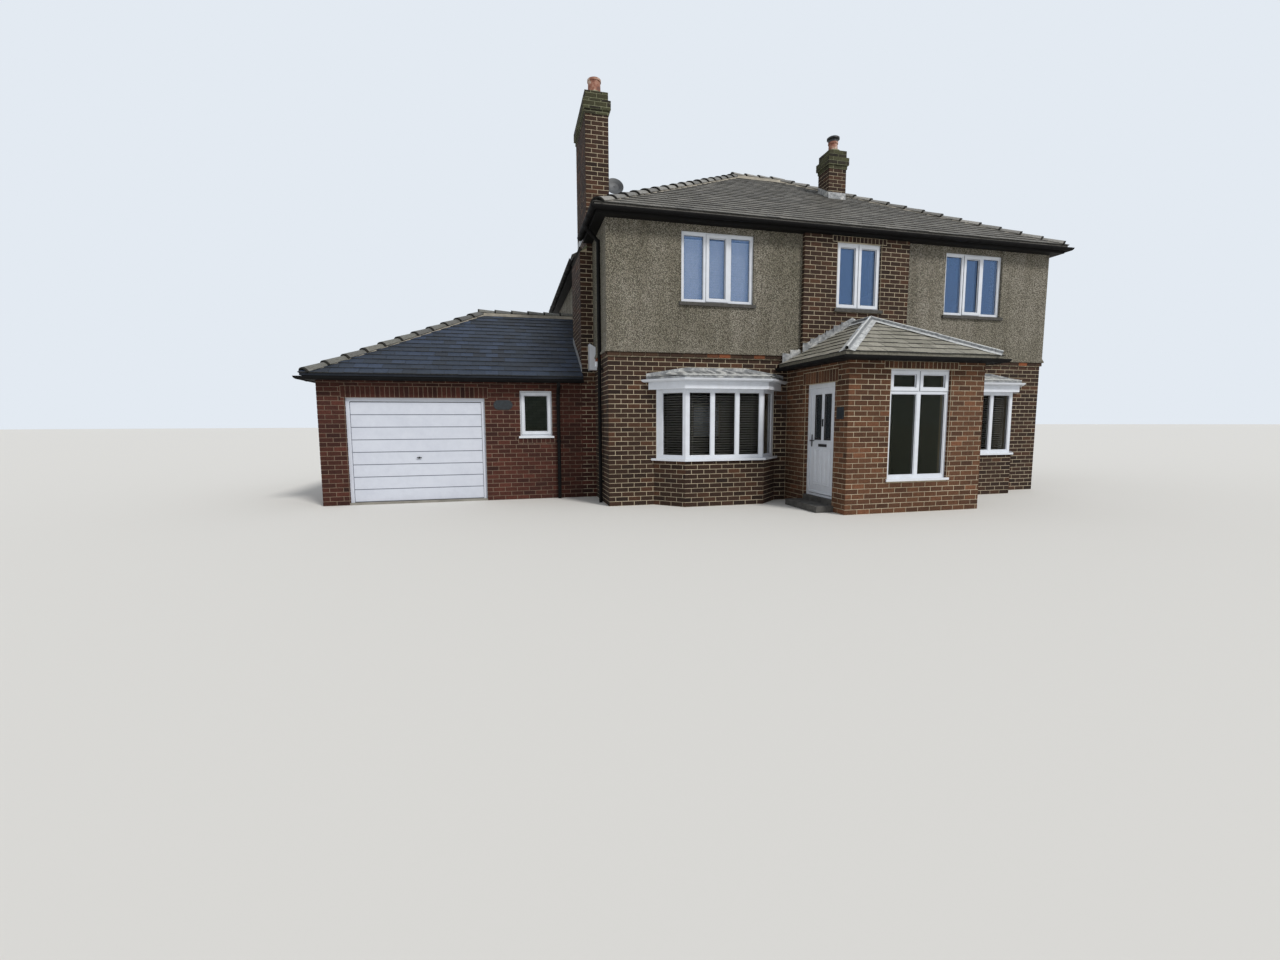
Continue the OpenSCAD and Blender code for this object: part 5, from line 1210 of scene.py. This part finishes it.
def hang_blind(width, low, high, tilt, satin):
    """One blind from u = 0 to its width: a head rail, curved slats and two cords, as parts to be gathered."""
    deselect()
    bpy.ops.mesh.primitive_grid_add(x_subdivisions=1, y_subdivisions=4, size=1)
    bpy.ops.transform.resize(value=(width, SLAT_W, 1))
    settle()
    for v in bpy.context.object.data.vertices:
        v.co.z = SLAT_T - CAMBER * v.co.y ** 2
    bpy.ops.transform.rotate(value=math.radians(tilt), orient_axis="X", center_override=(0, 0, 0))
    bpy.ops.transform.translate(value=(width / 2, 0, low + 0.02))
    settle()
    modify("SOLIDIFY", thickness=SLAT_T)
    repeat(int((high - low - 0.05) / SLAT_PITCH), (0, 0, SLAT_PITCH))
    parts = [bpy.context.object]
    cord = (CORD, CORD, high - low)
    for middle, size in (((width / 2, 0, high - RAIL_H / 2), (width, RAIL_D, RAIL_H)),
                         ((CORD_IN, CORD_OUT, (low + high) / 2), cord),
                         ((width - CORD_IN, CORD_OUT, (low + high) / 2), cord)):
        parts.append(block(size, middle))
        bevel(0.001, 1)
    for part in parts:
        part.data.materials.append(satin)
    return parts


gather("upper_left_blind", hang_blind(1.36, 3.78, 5.01, 58, white_slat), (1.415, 0.13), (1, 0), "house")
for i, (window, width) in enumerate(zip(WINDOWS, (1.36, 0.9, 1.36))):
    gather(f"rear_blind_{i + 1}", hang_blind(width, 1.06, 2.17, 62, white_slat),
           (window[0] + width / 2, 8.33), (-1, 0), "house")
for i, middle in enumerate(BAYS):
    for side, width, u, y, way in (("front", 1.36, -0.68, -0.29, (1, 0)),
                                   ("left", 0.42, -1.03, 0.06, (1, -1)),
                                   ("right", 0.42, 0.73, -0.24, (1, 1))):
        gather(f"bay_{side}_blind_{i + 1}", hang_blind(width, 0.90, 2.12, 14, shaded_slat),
               (middle + u, y), way, "house")

# Sills
# Thin dark sills of painted stone under the render, their fronts chipped and stained.
paint(["stone_sills"], weathered("painted_stone_sill", (14.0, 6.0, 0.7),
                                 [(0.3, "302f2c"), (0.6, "4b4945"), (0.75, "6d6a63")],
                                 {"Roughness": 0.8}, (0.4, 0.003)))

# Front door
# A white plastic door: two tall panes in black-lined beads, two raised panels below, a weather bar at its
# foot, and black furniture. All of it swings with the leaf.
paint(["front_door"], white_upvc)
paint(["front_door_furniture"], black_steel)

# Upright reeds blur what is behind the pane. Their thin lines of light are painted into the tone as well as
# bumped, over a dark tint that is painted shade of the porch behind
reeded_glass, tree, place = new_material("reeded_obscured_glass")
reeds = add(tree, "TexWave", {"Vector": place, "Scale": 22.0, "Distortion": 1.2}, bands_direction="Y")
relief = add(tree, "Bump", {"Strength": 0.5, "Distance": 0.003, "Height": (reeds, "Fac")})
tone = add(tree, "ValToRGB", {"Fac": (reeds, "Fac")}, [(0.2, "1d2327"), (0.8, "353d42")])
coat(tree, {"Base Color": tone, "Roughness": 0.22, "Alpha": 0.86, "Normal": relief})
paint(["front_door_glass"], reeded_glass)

# The leaf's panes have a black bead, a lining and a white rim, and its panels two raised mouldings
LEAF_PANE = ((0, 0.036, -0.008, 0.002, 0.005, gasket), (0.006, 0.0065, 0.001, 0.0118, 0.001, gasket),
             (-0.036, 0.016, -0.011, 0.002, 0.004, white_upvc))
LEAF_PANEL = ((0.008, 0.022, -0.010, 0.001, 0.006, white_upvc),
              (0.045, 0.012, -0.0125, 0.001, 0.005, white_upvc))
mouldings = []
for low, high, rings, sides in ((1.255, 1.997, LEAF_PANE, ((0.178, 0.328), (0.478, 0.628))),
                                (0.415, 1.065, LEAF_PANEL, ((0.153, 0.353), (0.453, 0.653)))):
    for u0, u1 in sides:
        mouldings += [model_ring((u0, low, u1, high), *ring) for ring in rings]
weather_bar = block((0.79, 0.032, 0.04), (0.403, -0.014, 0.275))
edit()
bpy.ops.mesh.bisect(plane_co=(0.403, -0.03, 0.265), plane_no=(0, -1, 1.3), clear_outer=True, use_fill=True)
bevel(0.003, 2)
weather_bar.data.materials.append(white_upvc)
gather("door_mouldings", mouldings + [weather_bar], (3.676, -0.749), (0, -1), "front_door_leaf")
gather("door_frame_seal", [model_ring((0, STEP_TOP, DOOR_Y0 - DOOR_Y1, DOOR_TOP), *SEAL)], (3.655, DOOR_Y0),
       (0, -1), "house")

# Garage door and its gear
# Pressed steel enamelled white, with painted shade in the ribs, hung on galvanised arms and tracks in a white
# frame.
# The enamel is a cool white with a soft shine, and the sheet bulges a little between its ribs.
white_enamel = weathered("white_stove_enamelled_steel", (3.5, 8.0, 0.7), [(0.3, "c7ccd8"), (0.6, "d0d5e0")],
                         {}, (0.1, 0.01, 2.2, 1.0), [(0.3, "646464"), (0.7, "505050")])
paint(["garage_door_frame"], white_enamel)

# On the leaf, painted shade darkens the eight grooves
leaf_low, leaf_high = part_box("garage_door")
GROOVES = 8
rib = (leaf_high[2] - leaf_low[2]) / GROOVES
leaf_enamel = white_enamel.copy()
leaf_enamel.name = "ribbed_enamelled_steel_painted_groove_shade"
tree = leaf_enamel.node_tree
shader = next(n for n in tree.nodes if n.type == "BSDF_PRINCIPLED")
clean = shader.inputs["Base Color"].links[0].from_node
axes = add(tree, "SeparateXYZ", {"Vector": (add(tree, "TexCoord"), "Object")})
share = add(tree, "Math", {0: (axes, "Z"), 1: leaf_low[2] + rib / 2}, operation="SUBTRACT")
share = add(tree, "Math", {0: share, 1: rib}, operation="DIVIDE")
share = add(tree, "Math", {0: share}, operation="FRACT")
share = add(tree, "Math", {0: share, 1: 0.5}, operation="SUBTRACT")
share = add(tree, "Math", {0: share}, operation="ABSOLUTE")
# Painted shade: a grey line at each groove, fading out close to it
groove = add(tree, "ValToRGB", {"Fac": share}, [(0.0, "6f747d"), (0.05, "ffffff")])
tone = add(tree, "MixRGB", {"Fac": 1.0, "Color1": clean, "Color2": groove}, blend_type="MULTIPLY")
tree.links.new(tone.outputs[0], shader.inputs["Base Color"])
paint(["garage_door"], leaf_enamel)

# Zinc shows as a patchwork of grey crystals
galvanised, tree, place = new_material("galvanised_steel")
spangle = add(tree, "TexVoronoi", {"Vector": place, "Scale": 90.0})
tone = add(tree, "ValToRGB", {"Fac": (spangle, "Color")}, [(0.2, "7c8085"), (0.8, "a2a6a9")])
coat(tree, {"Base Color": tone, "Metallic": 0.8, "Roughness": 0.45})
paint(("garage_door_arms", "garage_door_tracks", "garage_track_flanges"), galvanised)
paint(["garage_door_fittings"], black_steel)

# Plaques, dish, meter box and lamp
# Split slate plaques left bare, a grey steel dish on its bracket, and moulded white plastic on the left wall.
# The plaques are near black and barely shine, and the dish is a flat mid grey.
plaque_slate = weathered("honed_plaque_slate", (24.0, 8.0), [(0.3, "12171b"), (0.7, "222a30")],
                         {"Roughness": 0.5}, (0.3, 0.002))
dish_paint = weathered("grey_powder_coated_dish", (8.0, 6.0), [(0.3, "37393c"), (0.7, "505356")],
                       {"Metallic": 0.2, "Roughness": 0.5})
PLAQUE_T = 0.014


def hang_plaque(name, plaque, screws, foot, way):
    """Rounds a plaque off and hangs it on its wall by domed screws."""
    deselect()
    plaque.select_set(True)
    bpy.context.view_layer.objects.active = plaque
    bevel(0.003, 2, 60)
    plaque.data.materials.append(plaque_slate)
    parts = [plaque]
    for u, z in screws:
        deselect()
        bpy.ops.mesh.primitive_uv_sphere_add(segments=12, ring_count=6, radius=0.006,
                                             location=(u, -PLAQUE_T, z))
        bpy.ops.transform.resize(value=(1, 0.5, 1))
        settle()
        bpy.ops.object.shade_smooth()
        parts.append(bpy.context.object)
        parts[-1].data.materials.append(dish_paint)
    return gather(name, parts, foot, way, "house")


deselect()
bpy.ops.mesh.primitive_cylinder_add(vertices=48, radius=0.095, depth=PLAQUE_T, rotation=(math.pi / 2, 0, 0),
                                    location=(0, -PLAQUE_T / 2, 0))
settle()
oval = bpy.context.object
for v in oval.data.vertices:
    v.co.x += math.copysign(0.09, v.co.x) if abs(v.co.x) > 0.001 else 0
oval = hang_plaque("garage_plaque", oval, ((-0.15, 0), (0.15, 0)), (-1.87, 1.45), (1, 0))
oval.data.transform(Matrix.Translation((0, 0, 1.91)))
hang_plaque("porch_plaque", block((0.2, PLAQUE_T, 0.2), (0.1, -PLAQUE_T / 2, 1.69)),
            ((0.02, 1.61), (0.18, 1.61), (0.02, 1.77), (0.18, 1.77)), (PORCH_X0, -1.7), (0, -1))
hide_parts("plaques")

paint(["satellite_dish"], dish_paint)
paint(["wall_fittings"], white_upvc)

# Floors and the porch step
# Float-finished concrete on the ground, boards above it, and a dark riven stone step at the front door.
# The concrete is a mild clouded grey, and the step a darker grey with shallow clefts.
concrete = weathered("floated_concrete", (2.2, 8.0, 0.65), [(0.3, "77746d"), (0.7, "98958c")],
                     {"Roughness": 0.85}, (0.3, 0.003))
paint(("main_floor", "garage_floor"), concrete)
step_stone = weathered("riven_step_stone", (9.0, 8.0, 0.6), [(0.3, "3a3937"), (0.7, "5d5b57")],
                       {"Roughness": 0.75}, (0.5, 0.006))
paint(["porch_floor"], step_stone)

# Softwood boards in two warm tones with dark gaps
boards, tree, place = new_material("softwood_floorboards")
planks = add(tree, "TexBrick", {"Vector": place, "Scale": 1.0, "Brick Width": 3.6, "Row Height": 0.15,
                                "Mortar Size": 0.003, "Color1": linear("a98a62"), "Color2": linear("93734e"),
                                "Mortar": linear("4a3a2a")})
coat(tree, {"Base Color": planks, "Roughness": 0.6})
paint(["upper_floor"], boards)
